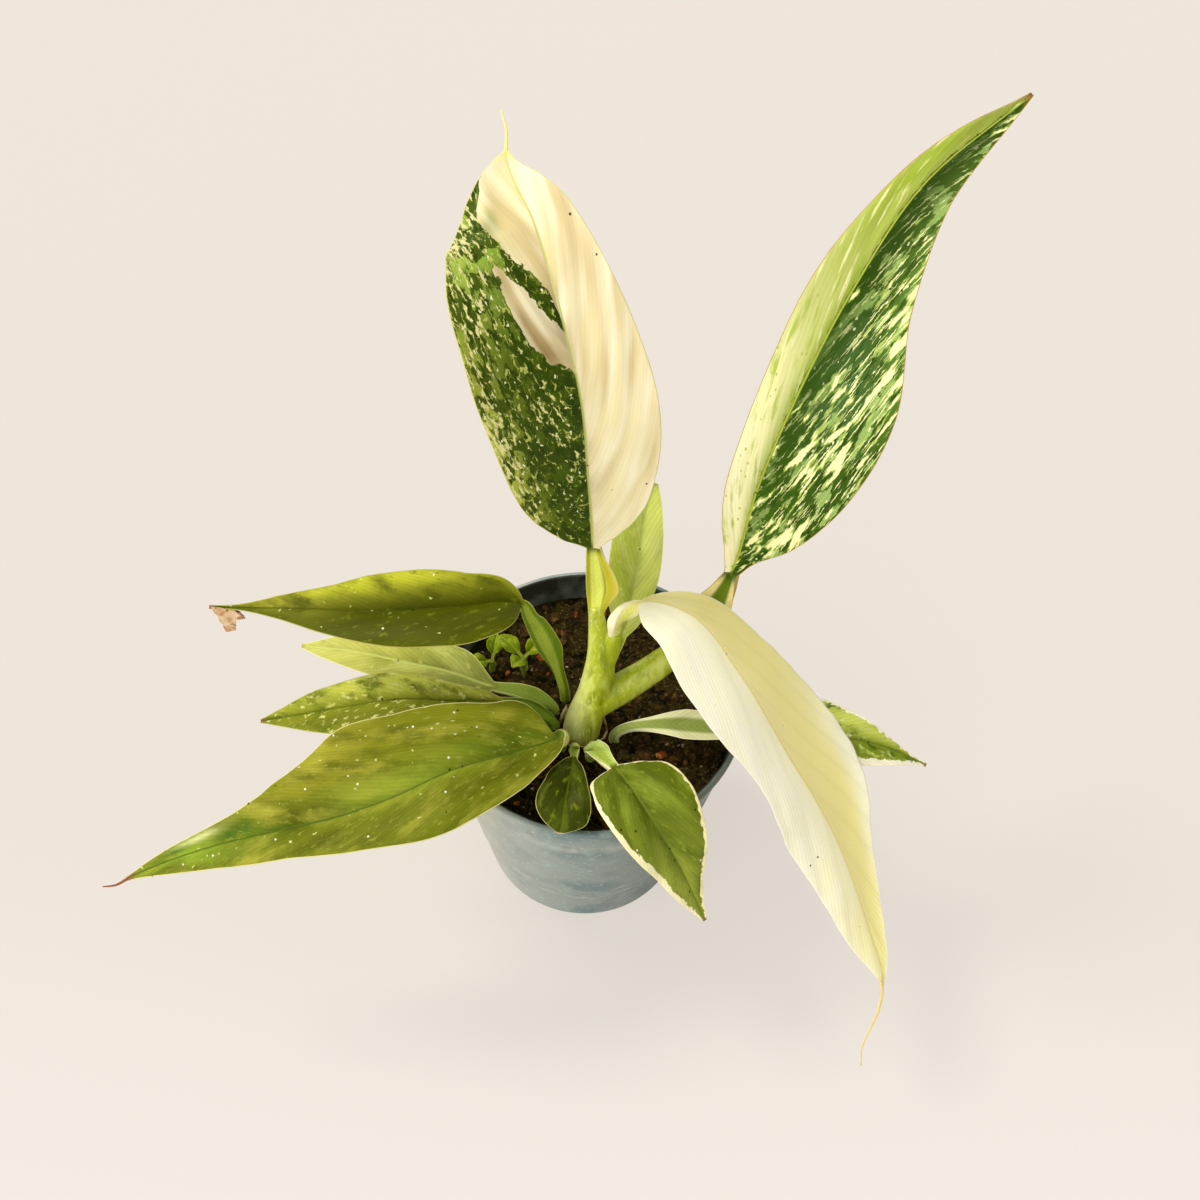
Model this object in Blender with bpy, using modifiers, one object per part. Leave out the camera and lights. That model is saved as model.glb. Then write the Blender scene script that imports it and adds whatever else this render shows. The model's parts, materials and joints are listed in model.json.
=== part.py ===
# Potted variegated philodendron: a plastic nursery pot, its soil, the crown of the plant, its leaves
# on their sheathed petioles, and two weed seedlings. The origin is the middle of the pot's base on the
# surface that it stands on, +Z is up, and -Y is the side that the drooping front leaves face.

import math
from collections import namedtuple

import bmesh
import bpy
import numpy as np
from mathutils import Vector

MM = 0.001
GAP = 0.3

# Pot, in millimetres
POT_HEIGHT = 95.0
POT_RIM_RADIUS = 52.0
POT_BASE_RADIUS = 37.0
POT_WALL = 1.2
POT_LIP_OUT = 0.9
POT_LIP_DEPTH = 2.6
POT_FOOT_BEVEL = 1.0
POT_RIM_BEVEL = 0.4
POT_SIDES = 48
POT_ROUGHNESS = 0.55
DRAIN_HOLES = 6
DRAIN_RADIUS = 4.0
DRAIN_CIRCLE_RADIUS = 24.0
DRAIN_SIDES = 12
# How far a cutter runs past the faces that it cuts through
CUT_PAST = 2.0

# Soil, in millimetres
SOIL_LEVEL = 84.5
SOIL_RELIEF = 0.63
SOIL_TOP_RINGS = 9
SOIL_HOLE_SIDES = 12
CROWN_HOLE_SIDES = 24
# How far the stem holes' cutters reach over the soil's mean level
SOIL_HOLE_RISE = 6.0
# The soil's lumps fade out at the wall: the higher this power, the closer to the wall they reach
SOIL_LUMPS_POWER = 6
SOIL_ROUGHNESS = 0.9
# The soil's lumps: how many radians of a wave pass in a millimetre along x and y, for two waves, where
# the first one starts, and how high the second is beside it
SOIL_WAVE = (0.31, 0.27)
SOIL_WAVE_START = (1.3, 0.4)
SOIL_CROSS_WAVE = (0.62, -0.48)
SOIL_CROSS_SHARE = 0.6
# A petiole's clearance in its hole, as a multiple of the gap that touching pieces keep
STEM_CLEARANCE = 2.5
ROOT_BOTTOM = 74.0
ROOT_TOP = 87.5

# Crown, in millimetres: a thick stem that forks into two stubs, which carry the upper leaves
CROWN_FOOT = (-2.0, -8.0)
CROWN_BOTTOM = 70.0
CROWN_RADIUS = 7.0
CROWN_TRUNK = ((-2.0, -8.0, 70.0), (-2.0, -8.0, 88.0), (1.0, -5.0, 101.0))
CROWN_TRUNK_RADII = (7.0, 7.0, 5.6)
CROWN_LEFT_STUB = ((0.0, -6.0, 97.0), (2.3, -2.6, 107.0), (3.5, 0.5, 117.0))
CROWN_LEFT_RADII = (5.4, 5.5, 5.0)
CROWN_RIGHT_STUB = ((0.0, -6.0, 97.0), (9.0, -2.6, 102.0), (17.0, 0.5, 107.0))
CROWN_RIGHT_RADII = (5.4, 5.4, 4.6)
CROWN_SIDES = 14
CROWN_ROUGHNESS = 0.4

# Leaves: how finely each is divided, and its thickness in millimetres
PETIOLE_RINGS = 8
BLADE_RINGS = (0.0, 0.03, 0.08, 0.15, 0.24, 0.34, 0.45, 0.56, 0.67, 0.78, 0.87, 0.94, 1.0)
TAIL_RINGS = 3
ACROSS = (0.0, 0.35, 0.7, 1.0)
EDGE_THICKNESS = 0.7
TAIL_RADIUS = 0.5
TIP_HALF_WIDTH = 0.6
WAVE_HEIGHT = 0.8
WAVES = 2.5
# A petiole starts as a round stem: its sheath swells, and its section flattens, over these shares of it
SHEATH_START = 0.25
FLAT_START = 0.3
FLAT_END = 0.6
# The halves of a blade reach their full bulge at this share of its length from its base
BULGE_FULL = 0.125
# A midrib's half-width on the underside, as a multiple of its radius
RIB_REACH = 1.6
# A round stem is thicker in height than in width by twice this, so that it joins the blade's edge
STEM_LIFT = 0.175
# Half the length over which a stem's direction is read
DIRECTION_REACH = 0.5
# How sharply a sheath swells towards its middle
SHEATH_POWER = 1.5
LEAF_ROUGHNESS = 0.45
# Where along the blade, from its base at 0 to its tip at 1, the half-widths are given
WIDTH_STATIONS = (0.0, 0.05, 0.15, 0.3, 0.45, 0.6, 0.75, 0.9, 1.0)

# petiole: the points of its middle line from its foot to the blade's base, which the blade starts with
# blade: the points of the midrib from there to the tip; tail: those of the thread that some tips end in
# faces: which way the upper side looks at the petiole, the blade's base and the blade's tip
# left, right: half-widths at the stations, seen from the upper side with the tip away from the viewer
# wings: how far the petiole's sheath stands out to the left and right; fold: how far each half rises,
# in degrees; arch: how far each half bulges upwards, as a share of its width
Leaf = namedtuple(
    "Leaf", "name colour radius wings petiole blade tail faces fold arch left right"
)

OLIVE = (0.16, 0.22, 0.03, 1.0)
GREEN = (0.10, 0.22, 0.03, 1.0)
PALE_GREEN = (0.36, 0.50, 0.16, 1.0)
IVORY = (0.80, 0.76, 0.42, 1.0)
STEM_GREEN = (0.36, 0.52, 0.08, 1.0)
POT_GREY = (0.26, 0.34, 0.34, 1.0)
SOIL_BROWN = (0.035, 0.024, 0.016, 1.0)


def rooted(x, y):
    """The upright stretch of a petiole that stands in its hole in the soil."""
    middle = (ROOT_BOTTOM + ROOT_TOP) / 2
    return [(x, y, ROOT_BOTTOM), (x, y, middle), (x, y, ROOT_TOP)]


LEAVES = (
    Leaf(
        "leaf_centre_upright", GREEN, (2.3, 2.2), (0.6, 5.5),
        petiole=[(1.1, 1.0, 118.1), (0.9, 3.8, 127), (0.4, 7, 138), (-0.4, 10, 149)],
        blade=[(-1, 12, 158), (-3, 13, 186), (-6, 17, 215), (-12, 25, 237), (-19, 38, 253), (-28, 58, 261)],
        tail=[(-28.2, 62, 264.3), (-29.8, 66, 267.6)],
        faces=((0.05, -1, 0.3), (0.05, -1, 0.3), (0.1, -1, 0.3)), fold=(18, 18), arch=(0.02, 0.03),
        left=(9.5, 17.5, 24, 27.5, 28, 27, 17), right=(7.5, 15.5, 20.5, 21.5, 19, 14.5, 7.5),
    ),
    Leaf(
        "leaf_right_upright", GREEN, (4.2, 2.3), (4.5, 3.5),
        petiole=[(17.9, 0.7, 107.6), (25, 3.4, 114), (33, 7, 124), (39, 11, 135)],
        blade=[(42, 14, 146), (46, 18, 183), (54, 28, 211), (65, 42, 234), (81, 60, 255), (108, 78, 272)],
        tail=[],
        faces=((-0.35, -0.8, 0.5), (-0.35, -0.8, 0.5), (-0.45, -0.7, 0.55)), fold=(22, 22), arch=(0.05, 0.02),
        left=(4.5, 8, 10, 11, 11, 7.5, 4), right=(6, 17.5, 29, 31, 19.5, 12, 5.5),
    ),
    Leaf(
        "leaf_right_drooping", IVORY, (1.9, 2.3), (0.4, 0.4),
        petiole=[(6.1, 0.7, 117.7), (7, 1.4, 126), (9, 1.2, 135)],
        blade=[(14, 3.4, 142), (29, -3, 147), (45, -19, 139), (60, -34, 122), (77, -49, 100),
               (90, -68, 78), (97, -82, 62)],
        tail=[(97, -87, 54), (96, -90, 43), (95, -93, 33), (96, -96, 25)],
        faces=((0.5, -0.9, 0.3), (0.5, 0.2, 1), (0.5, -0.5, 0.6)), fold=(-5, -5), arch=(-0.07, 0.09),
        left=(11.5, 15.5, 23.5, 28.5, 26, 13.5, 6), right=(13, 20.5, 21.5, 17, 17.5, 14, 8),
    ),
    Leaf(
        "leaf_left_upper", OLIVE, (1.9, 1.7), (1.2, 5.0),
        petiole=[*rooted(-8.5, 4.5), (-11, 6.5, 98), (-15.5, 8, 110), (-20, 8.5, 124)],
        blade=[(-23, 7, 134), (-41, 2, 138), (-63, 0, 136), (-89, 4, 130), (-124, 10, 120)],
        tail=[],
        faces=((-0.5, -0.6, 0.6), (-0.1, -0.35, 1), (0.0, -0.45, 1)), fold=(20, 20), arch=(0.10, 0.10),
        left=(8.5, 14, 14, 11.5, 8.5, 4, 1), right=(6.5, 10, 12.5, 11, 7.5, 4, 1),
    ),
    Leaf(
        "leaf_left_back", PALE_GREEN, (1.7, 1.5), (1.0, 1.0),
        petiole=[*rooted(-12, -1.5), (-16, -1.5, 93), (-23, -2, 98)],
        blade=[(-32, -2, 100), (-46, 2, 101), (-63, 6, 100), (-82, 12, 96), (-100, 17, 90)],
        tail=[],
        faces=((-0.3, -0.3, 1), (-0.1, -0.3, 1), (0.0, -0.4, 1)), fold=(6, 10), arch=(0.08, 0.08),
        left=(5, 8, 8, 7.5, 7, 5.5, 3), right=(4, 8, 8.5, 8, 7, 5, 2.5),
    ),
    Leaf(
        "leaf_left_middle", OLIVE, (1.7, 1.5), (1.0, 1.0),
        petiole=[*rooted(-11.5, -8), (-15, -8.5, 94), (-21, -9.5, 101)],
        blade=[(-29, -11, 105), (-44, -14, 109), (-60, -15, 110), (-76, -16, 106), (-106, -18, 97)],
        tail=[],
        faces=((-0.3, -0.3, 1), (-0.1, -0.3, 1), (0.0, -0.4, 1)), fold=(14, 14), arch=(0.08, 0.08),
        left=(4.5, 7, 10.5, 12, 10.5, 7.5, 3.5), right=(3, 5, 7.5, 8.5, 8.5, 6.5, 3),
    ),
    Leaf(
        "leaf_left_long", OLIVE, (1.9, 1.8), (0.8, 0.8),
        petiole=[*rooted(-8.8, -15.6), (-9.2, -18, 96)],
        blade=[(-9, -23, 104), (-23, -32, 109), (-40, -40, 111), (-57, -49, 109), (-72, -54, 105),
               (-93, -57, 98), (-114, -60, 91), (-141, -67, 80)],
        tail=[(-145, -68.5, 78), (-149, -69, 77.5)],
        faces=((-0.3, -0.9, 0.5), (-0.1, -0.2, 1), (0.0, -0.3, 1)), fold=(12, 12), arch=(0.07, 0.07),
        left=(7, 14.5, 19, 14, 10.5, 8.5, 4.5), right=(12.5, 17.5, 23, 25, 17, 7.5, 3.5),
    ),
    Leaf(
        "leaf_front", GREEN, (1.8, 1.5), (2.4, 2.0),
        petiole=[*rooted(1.2, -18.3), (2.6, -21.4, 95), (5, -26.5, 100)],
        blade=[(9, -32, 103), (14, -40, 106), (20, -49, 105), (29, -58, 94), (40, -68, 72)],
        tail=[],
        faces=((0.3, -0.9, 0.5), (0.1, -0.1, 1), (0.1, -0.5, 1)), fold=(12, 12), arch=(0.10, 0.10),
        left=(6, 13, 16, 14.5, 10.5, 5.5, 2), right=(9, 13, 13.5, 12, 9, 6.5, 3),
    ),
    Leaf(
        "leaf_front_small", OLIVE, (1.3, 1.1), (0.4, 0.4),
        petiole=[*rooted(-3.8, -19), (-3.9, -21.8, 95.5)],
        blade=[(-4, -28, 101), (-5, -38, 104), (-6, -46, 103), (-7, -54, 99)],
        tail=[],
        faces=((0, -0.9, 0.5), (0, -0.2, 1), (0, -0.3, 1)), fold=(8, 8), arch=(0.08, 0.08),
        left=(1.5, 3, 5, 6.5, 8, 8.5, 6.5), right=(2, 4, 6.5, 7.5, 9, 8.5, 5),
    ),
    Leaf(
        "leaf_right_low", PALE_GREEN, (1.8, 1.6), (3.4, 3.4),
        petiole=[*rooted(9, -11), (13, -11.8, 94), (23, -12.4, 98), (40, -13.5, 99.5)],
        blade=[(58, -15.5, 99.5), (74, -16, 100), (89, -15, 98), (100, -15, 94), (112, -17, 88)],
        tail=[],
        faces=((0.0, -0.4, 1), (0.1, -0.3, 1), (0.1, -0.5, 1)), fold=(14, 14), arch=(0.06, 0.06),
        left=(5, 11, 13, 10, 6, 3, 1), right=(3.5, 8, 10, 9.5, 8, 6, 2.5),
    ),
    Leaf(
        "leaf_back", PALE_GREEN, (1.7, 1.5), (0.6, 0.6),
        petiole=[*rooted(3.5, 7), (5.5, 11, 96)],
        blade=[(10, 18, 104), (13, 27, 122), (14, 31, 136), (15, 36, 146), (18, 43, 153)],
        tail=[],
        faces=((0.1, -1, 0.4), (0.1, -1, 0.4), (0.1, -1, 0.4)), fold=(10, 10), arch=(0.06, 0.06),
        left=(3, 6.5, 8.5, 9.5, 10, 9, 4.5), right=(3, 5.5, 7, 7.5, 7.5, 6.5, 4),
    ),
)

# The dry scrap that hangs from the tip of the upper left leaf: its place, thickness and outline
SCRAP_AT = (-117.5, 8.0, 121.2)
SCRAP_LEAN_DEGREES = 80.0
SCRAP_TURN_DEGREES = -6.0
SCRAP_THICKNESS = 0.8
SCRAP_OUTLINE = ((-5.5, 0.6), (4.5, 0.6), (5.5, -2.5), (2.2, -3.6), (1.6, -8.5), (-1.5, -9.5), (-3.4, -4.5))

# Weed seedlings, in millimetres: where each stands in the soil, and where each leaflet ends
SEEDLING_STALK_RADIUS = 0.7
SEEDLING_SIDES = 8
SEEDLING_LEAF_RINGS = 6
# How far under its stalk's top a leaflet starts
SEEDLING_LEAF_DROP = 1.0
SEEDLING_LEAF_HALF_WIDTH = 2.6
SEEDLING_LEAF_HALF_THICKNESS = 0.5
# A leaflet's width at its base and what it gains towards its tip, as shares of the half-width
SEEDLING_LEAF_TAPER = (0.25, 0.9)
SEEDLING_ROUGHNESS = 0.4
SEEDLING_GREEN = (0.13, 0.42, 0.05, 1.0)
SEEDLINGS = (
    ("seedling_left", (-23, 13), 96, ((-31, 18, 100), (-26, 7, 99), (-17, 17, 101))),
    ("seedling_far_left", (-34, 14), 92, ((-41, 10, 94), (-33, 22, 95))),
)


def material(name, colour, roughness):
    made = bpy.data.materials.new(name)
    made.use_nodes = True
    shader = made.node_tree.nodes["Principled BSDF"]
    shader.inputs["Base Color"].default_value = colour
    shader.inputs["Roughness"].default_value = roughness
    made.diffuse_color = colour
    return made


def new_object(name, mesh, collection, surface=None):
    made = bpy.data.objects.new(name, mesh)
    collection.objects.link(made)
    if surface:
        mesh.materials.append(surface)
    return made


def as_mesh(obj, name):
    """The object's evaluated shape as a plain mesh in world space, with its doubles merged."""
    bpy.context.view_layer.update()
    graph = bpy.context.evaluated_depsgraph_get()
    mesh = bpy.data.meshes.new_from_object(obj.evaluated_get(graph))
    mesh.transform(obj.matrix_world)
    mesh.name = name
    body = bmesh.new()
    body.from_mesh(mesh)
    bmesh.ops.remove_doubles(body, verts=body.verts, dist=0.01 * MM)
    bmesh.ops.recalc_face_normals(body, faces=body.faces)
    body.to_mesh(mesh)
    body.free()
    return mesh


def replaced_by_mesh(obj, collection):
    """Turns a curve, or an object with modifiers, into a plain mesh object of the same name."""
    name = obj.name
    mesh = as_mesh(obj, name)
    bpy.data.objects.remove(obj)
    made = bpy.data.objects.new(name, mesh)
    collection.objects.link(made)
    return made


def tube(name, points, radii, collection, sides=10):
    """A tapering round stem through the points, as a closed mesh."""
    curve = bpy.data.curves.new(name, "CURVE")
    curve.dimensions = "3D"
    curve.bevel_depth = MM
    curve.bevel_resolution = sides // 2 - 2
    curve.use_fill_caps = True
    spline = curve.splines.new("POLY")
    spline.points.add(len(points) - 1)
    for point, place, radius in zip(spline.points, points, radii):
        point.co = (*(Vector(place) * MM), 1.0)
        point.radius = radius
    made = bpy.data.objects.new(name, curve)
    collection.objects.link(made)
    return replaced_by_mesh(made, collection)


def fused(name, pieces, surface, parts):
    """One body from overlapping closed pieces, which are removed."""
    first, *others = pieces
    pile = bpy.data.collections.new(name + "_pieces")
    for piece in others:
        pile.objects.link(piece)
    union = first.modifiers.new("Union", "BOOLEAN")
    union.operation = "UNION"
    union.operand_type = "COLLECTION"
    union.collection = pile
    union.solver = "EXACT"
    mesh = as_mesh(first, name)
    for piece in pieces:
        bpy.data.objects.remove(piece)
    bpy.data.collections.remove(pile)
    mesh.materials.clear()
    return new_object(name, mesh, parts, surface)


def through(knots, values, at):
    """A smooth curve through the values (numbers or points) at the knots, read at the given places."""
    knots = np.asarray(knots, float)
    values = np.asarray(values, float)
    at = np.asarray(at, float)
    slopes = np.gradient(values, knots, axis=0)
    low = np.clip(np.searchsorted(knots, at, side="right") - 1, 0, len(knots) - 2)
    span = knots[low + 1] - knots[low]
    s = (at - knots[low]) / span
    if values.ndim > 1:
        span = span[:, None]
        s = s[:, None]
    start = (2 * s**3 - 3 * s**2 + 1) * values[low] + (s**3 - 2 * s**2 + s) * span * slopes[low]
    end = (3 * s**2 - 2 * s**3) * values[low + 1] + (s**3 - s**2) * span * slopes[low + 1]
    return start + end


def lengths_along(points):
    steps = np.linalg.norm(np.diff(np.asarray(points, float), axis=0), axis=1)
    return np.concatenate([[0.0], np.cumsum(steps)])


def unit(vectors):
    return vectors / np.linalg.norm(vectors, axis=-1, keepdims=True)


def leaf_stations(leaf):
    """Where the rings lie along the whole leaf, as lengths along its points, and the two joints' lengths."""
    points = [*leaf.petiole, *leaf.blade, *leaf.tail]
    knots = lengths_along(points)
    base = knots[len(leaf.petiole)]
    tip = knots[len(leaf.petiole) + len(leaf.blade) - 1]
    petiole = np.linspace(0, base, PETIOLE_RINGS, endpoint=False)
    blade = base + (tip - base) * np.array(BLADE_RINGS)
    tail = np.linspace(tip, knots[-1], TAIL_RINGS + 1)[1:] if leaf.tail else np.array([])
    return points, knots, base, tip, np.concatenate([petiole, blade, tail])


def leaf_rings(leaf):
    """Rows of points, top and bottom, across the leaf from left to right, from its foot to its tip."""
    points, knots, base, tip, at = leaf_stations(leaf)
    middle = through(knots, points, at)
    ahead = unit(through(knots, points, np.minimum(at + DIRECTION_REACH, knots[-1]))
                 - through(knots, points, np.maximum(at - DIRECTION_REACH, 0)))
    along_blade = np.clip((at - base) / (tip - base), 0, 1)
    along_petiole = np.clip(at / base, 0, 1)
    in_tail = at > tip + 1e-6
    at_foot, at_base, at_tip = np.asarray(leaf.faces, float)
    facing = np.where(
        (at < base)[:, None],
        at_foot + (at_base - at_foot) * along_petiole[:, None],
        at_base + (at_tip - at_base) * along_blade[:, None],
    )
    right = unit(np.cross(ahead, facing))
    up = np.cross(right, ahead)
    radius = leaf.radius[0] + (leaf.radius[1] - leaf.radius[0]) * along_petiole
    radius = np.where(at < base, radius, leaf.radius[1] + (EDGE_THICKNESS - leaf.radius[1]) * along_blade)
    radius = np.where(in_tail, TAIL_RADIUS, radius)
    swelling = np.sin(np.pi * np.clip((along_petiole - SHEATH_START) / (1 - SHEATH_START), 0, 1))
    swelling = swelling ** SHEATH_POWER
    flat = np.clip((along_petiole - FLAT_START) / (FLAT_END - FLAT_START), 0, 1)
    flat = np.where(in_tail, 0.0, flat)
    offsets = np.array([-s for s in reversed(ACROSS)] + list(ACROSS[1:]))
    rings = []
    for i in range(len(at)):
        ring = {}
        for side, sign, widths, wing in (("left", -1, leaf.left, leaf.wings[0]),
                                         ("right", 1, leaf.right, leaf.wings[1])):
            edge = [leaf.radius[1], *widths, TIP_HALF_WIDTH]
            width = float(through(WIDTH_STATIONS, edge, [along_blade[i]])[0])
            width = radius[i] + wing * swelling[i] if at[i] < base else width
            half = 0 if sign < 0 else 1
            arch = leaf.arch[half] * min(1.0, along_blade[i] / BULGE_FULL)
            ring[side] = (sign, width, math.radians(leaf.fold[half]), arch)
        top = []
        bottom = []
        for s in offsets:
            sign, width, fold, arch = ring["left"] if s < 0 else ring["right"]
            out = abs(s)
            across = sign * width * out * math.cos(fold)
            wave = WAVE_HEIGHT * out**2 * math.sin(math.pi * along_blade[i]) * math.sin(
                2 * math.pi * WAVES * along_blade[i] + sign
            )
            high = width * out * math.sin(fold) + 4 * arch * width * out * (1 - out) + wave
            rib = math.sqrt(max(0.0, 1 - (out * width / (radius[i] * RIB_REACH)) ** 2))
            deep = EDGE_THICKNESS + max(0.0, 2 * radius[i] - EDGE_THICKNESS) * rib
            turn = s * math.pi / 2
            round_across = radius[i] * math.sin(turn)
            round_high = radius[i] * math.cos(turn) * (1 if out < 1 else 0)
            flat_top = np.array([across, high])
            flat_bottom = np.array([across, high - deep])
            round_top = np.array([round_across, round_high + STEM_LIFT])
            round_bottom = np.array([round_across, -round_high - STEM_LIFT])
            for rows, blade_like, stem_like in (
                (top, flat_top, round_top), (bottom, flat_bottom, round_bottom)
            ):
                x, z = flat[i] * blade_like + (1 - flat[i]) * stem_like
                rows.append(middle[i] + right[i] * x + up[i] * z)
        rings.append((top, bottom))
    return rings


def leaf_mesh(leaf):
    """A closed loft through the leaf's rings, split into triangles alike on its upper and lower sides."""
    rings = leaf_rings(leaf)
    body = bmesh.new()
    rows = [
        ([body.verts.new(Vector(p) * MM) for p in top], [body.verts.new(Vector(p) * MM) for p in bottom])
        for top, bottom in rings
    ]
    last = len(rows[0][0]) - 1
    for (top, bottom), (next_top, next_bottom) in zip(rows, rows[1:]):
        for j in range(last):
            body.faces.new((top[j], top[j + 1], next_top[j + 1]))
            body.faces.new((top[j], next_top[j + 1], next_top[j]))
            body.faces.new((bottom[j], next_bottom[j + 1], bottom[j + 1]))
            body.faces.new((bottom[j], next_bottom[j], next_bottom[j + 1]))
        for j, flip in ((0, False), (last, True)):
            quad = [top[j], next_top[j], next_bottom[j], bottom[j]]
            if flip:
                quad.reverse()
            body.faces.new(quad)
    for (top, bottom), flip in ((rows[0], False), (rows[-1], True)):
        for j in range(last):
            quad = [top[j], bottom[j], bottom[j + 1], top[j + 1]]
            if flip:
                quad.reverse()
            body.faces.new(quad)
    bmesh.ops.recalc_face_normals(body, faces=body.faces)
    mesh = bpy.data.meshes.new(leaf.name)
    body.to_mesh(mesh)
    body.free()
    mesh.shade_smooth()
    return mesh


def flat_scrap(collection):
    """The torn, dried piece of blade that hangs from a tip, as a thin upright plate."""
    curve = bpy.data.curves.new("scrap", "CURVE")
    curve.dimensions = "2D"
    curve.fill_mode = "BOTH"
    curve.extrude = SCRAP_THICKNESS / 2 * MM
    spline = curve.splines.new("POLY")
    spline.points.add(len(SCRAP_OUTLINE) - 1)
    for point, (x, y) in zip(spline.points, SCRAP_OUTLINE):
        point.co = (x * MM, y * MM, 0, 1)
    spline.use_cyclic_u = True
    made = bpy.data.objects.new("scrap", curve)
    made.location = Vector(SCRAP_AT) * MM
    made.rotation_euler = (math.radians(SCRAP_LEAN_DEGREES), 0, math.radians(SCRAP_TURN_DEGREES))
    collection.objects.link(made)
    return replaced_by_mesh(made, collection)


def make_leaves(parts, helpers):
    for leaf in LEAVES:
        surface = material(leaf.name, leaf.colour, LEAF_ROUGHNESS)
        mesh = leaf_mesh(leaf)
        if leaf.name == "leaf_left_upper":
            blade = new_object("blade", mesh, helpers)
            fused(leaf.name, [blade, flat_scrap(helpers)], surface, parts)
        else:
            new_object(leaf.name, mesh, parts, surface)


def make_crown(parts, helpers):
    """The thick green stem in the middle, forked, with flat ends that the upper petioles stand on."""
    pieces = [
        tube("trunk", CROWN_TRUNK, CROWN_TRUNK_RADII, helpers, CROWN_SIDES),
        tube("left_stub", CROWN_LEFT_STUB, CROWN_LEFT_RADII, helpers, CROWN_SIDES),
        tube("right_stub", CROWN_RIGHT_STUB, CROWN_RIGHT_RADII, helpers, CROWN_SIDES),
    ]
    fused("crown", pieces, material("crown", STEM_GREEN, CROWN_ROUGHNESS), parts)


def turned(name, profile, sides, collection, surface=None):
    """A solid of revolution: the profile of (radius, height) pairs runs top to bottom on its outer side."""
    points = [(r * MM, 0, z * MM) for r, z in profile]
    mesh = bpy.data.meshes.new(name)
    mesh.from_pydata(points, [(i, i + 1) for i in range(len(points) - 1)], [])
    made = new_object(name, mesh, collection, surface)
    screw = made.modifiers.new("Turn", "SCREW")
    screw.steps = sides
    screw.render_steps = sides
    screw.use_merge_vertices = True
    screw.merge_threshold = 0.01 * MM
    screw.use_smooth_shade = False
    return made


def wall_radius(height, inset=0.0):
    """The pot's outer radius at a height, less an inset."""
    share = height / POT_HEIGHT
    return POT_BASE_RADIUS + (POT_RIM_RADIUS - POT_LIP_OUT - POT_BASE_RADIUS) * share - inset


def make_pot(parts, cutters):
    lip_bottom = POT_HEIGHT - POT_LIP_DEPTH
    lip_slope = lip_bottom - POT_LIP_OUT
    profile = [
        (0, POT_WALL),
        (wall_radius(POT_WALL, POT_WALL), POT_WALL),
        (wall_radius(POT_HEIGHT, POT_WALL), POT_HEIGHT - POT_RIM_BEVEL),
        (wall_radius(POT_HEIGHT, POT_WALL - POT_RIM_BEVEL), POT_HEIGHT),
        (POT_RIM_RADIUS - POT_RIM_BEVEL, POT_HEIGHT),
        (POT_RIM_RADIUS, POT_HEIGHT - POT_RIM_BEVEL),
        (POT_RIM_RADIUS, lip_bottom),
        (wall_radius(lip_slope), lip_slope),
        (wall_radius(POT_FOOT_BEVEL), POT_FOOT_BEVEL),
        (POT_BASE_RADIUS - POT_FOOT_BEVEL, 0),
        (0, 0),
    ]
    pot = turned("pot", profile, POT_SIDES, parts, material("pot", POT_GREY, POT_ROUGHNESS))
    drains = bpy.data.collections.new("drain_holes")
    cutters.children.link(drains)
    for i in range(DRAIN_HOLES):
        angle = 2 * math.pi * i / DRAIN_HOLES
        x = DRAIN_CIRCLE_RADIUS * math.cos(angle)
        y = DRAIN_CIRCLE_RADIUS * math.sin(angle)
        name = f"drain_{i + 1}"
        upright_cutter(name, x, y, -CUT_PAST, POT_WALL + CUT_PAST, DRAIN_RADIUS, DRAIN_SIDES, drains)
    cut = pot.modifiers.new("Drain holes", "BOOLEAN")
    cut.operation = "DIFFERENCE"
    cut.operand_type = "COLLECTION"
    cut.collection = drains
    cut.solver = "EXACT"


def upright_cutter(name, x, y, bottom, top, radius, sides, collection):
    """A plain upright cylinder that cuts a hole, kept as a helper."""
    reach = radius * MM
    height = (top - bottom) * MM
    body = bmesh.new()
    bmesh.ops.create_cone(
        body, cap_ends=True, segments=sides, radius1=reach, radius2=reach, depth=height
    )
    mesh = bpy.data.meshes.new(name)
    body.to_mesh(mesh)
    body.free()
    made = new_object(name, mesh, collection)
    made.location = Vector((x, y, (bottom + top) / 2)) * MM
    made.hide_render = True
    made.display_type = "WIRE"
    return made


def soil_relief(x, y):
    """How far the soil's surface lies above its mean level, in millimetres."""
    along, aside = SOIL_WAVE_START
    lumps = math.sin(SOIL_WAVE[0] * x + along) * math.cos(SOIL_WAVE[1] * y + aside)
    lumps += SOIL_CROSS_SHARE * math.sin(SOIL_CROSS_WAVE[0] * x + SOIL_CROSS_WAVE[1] * y)
    return SOIL_RELIEF * lumps


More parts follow.
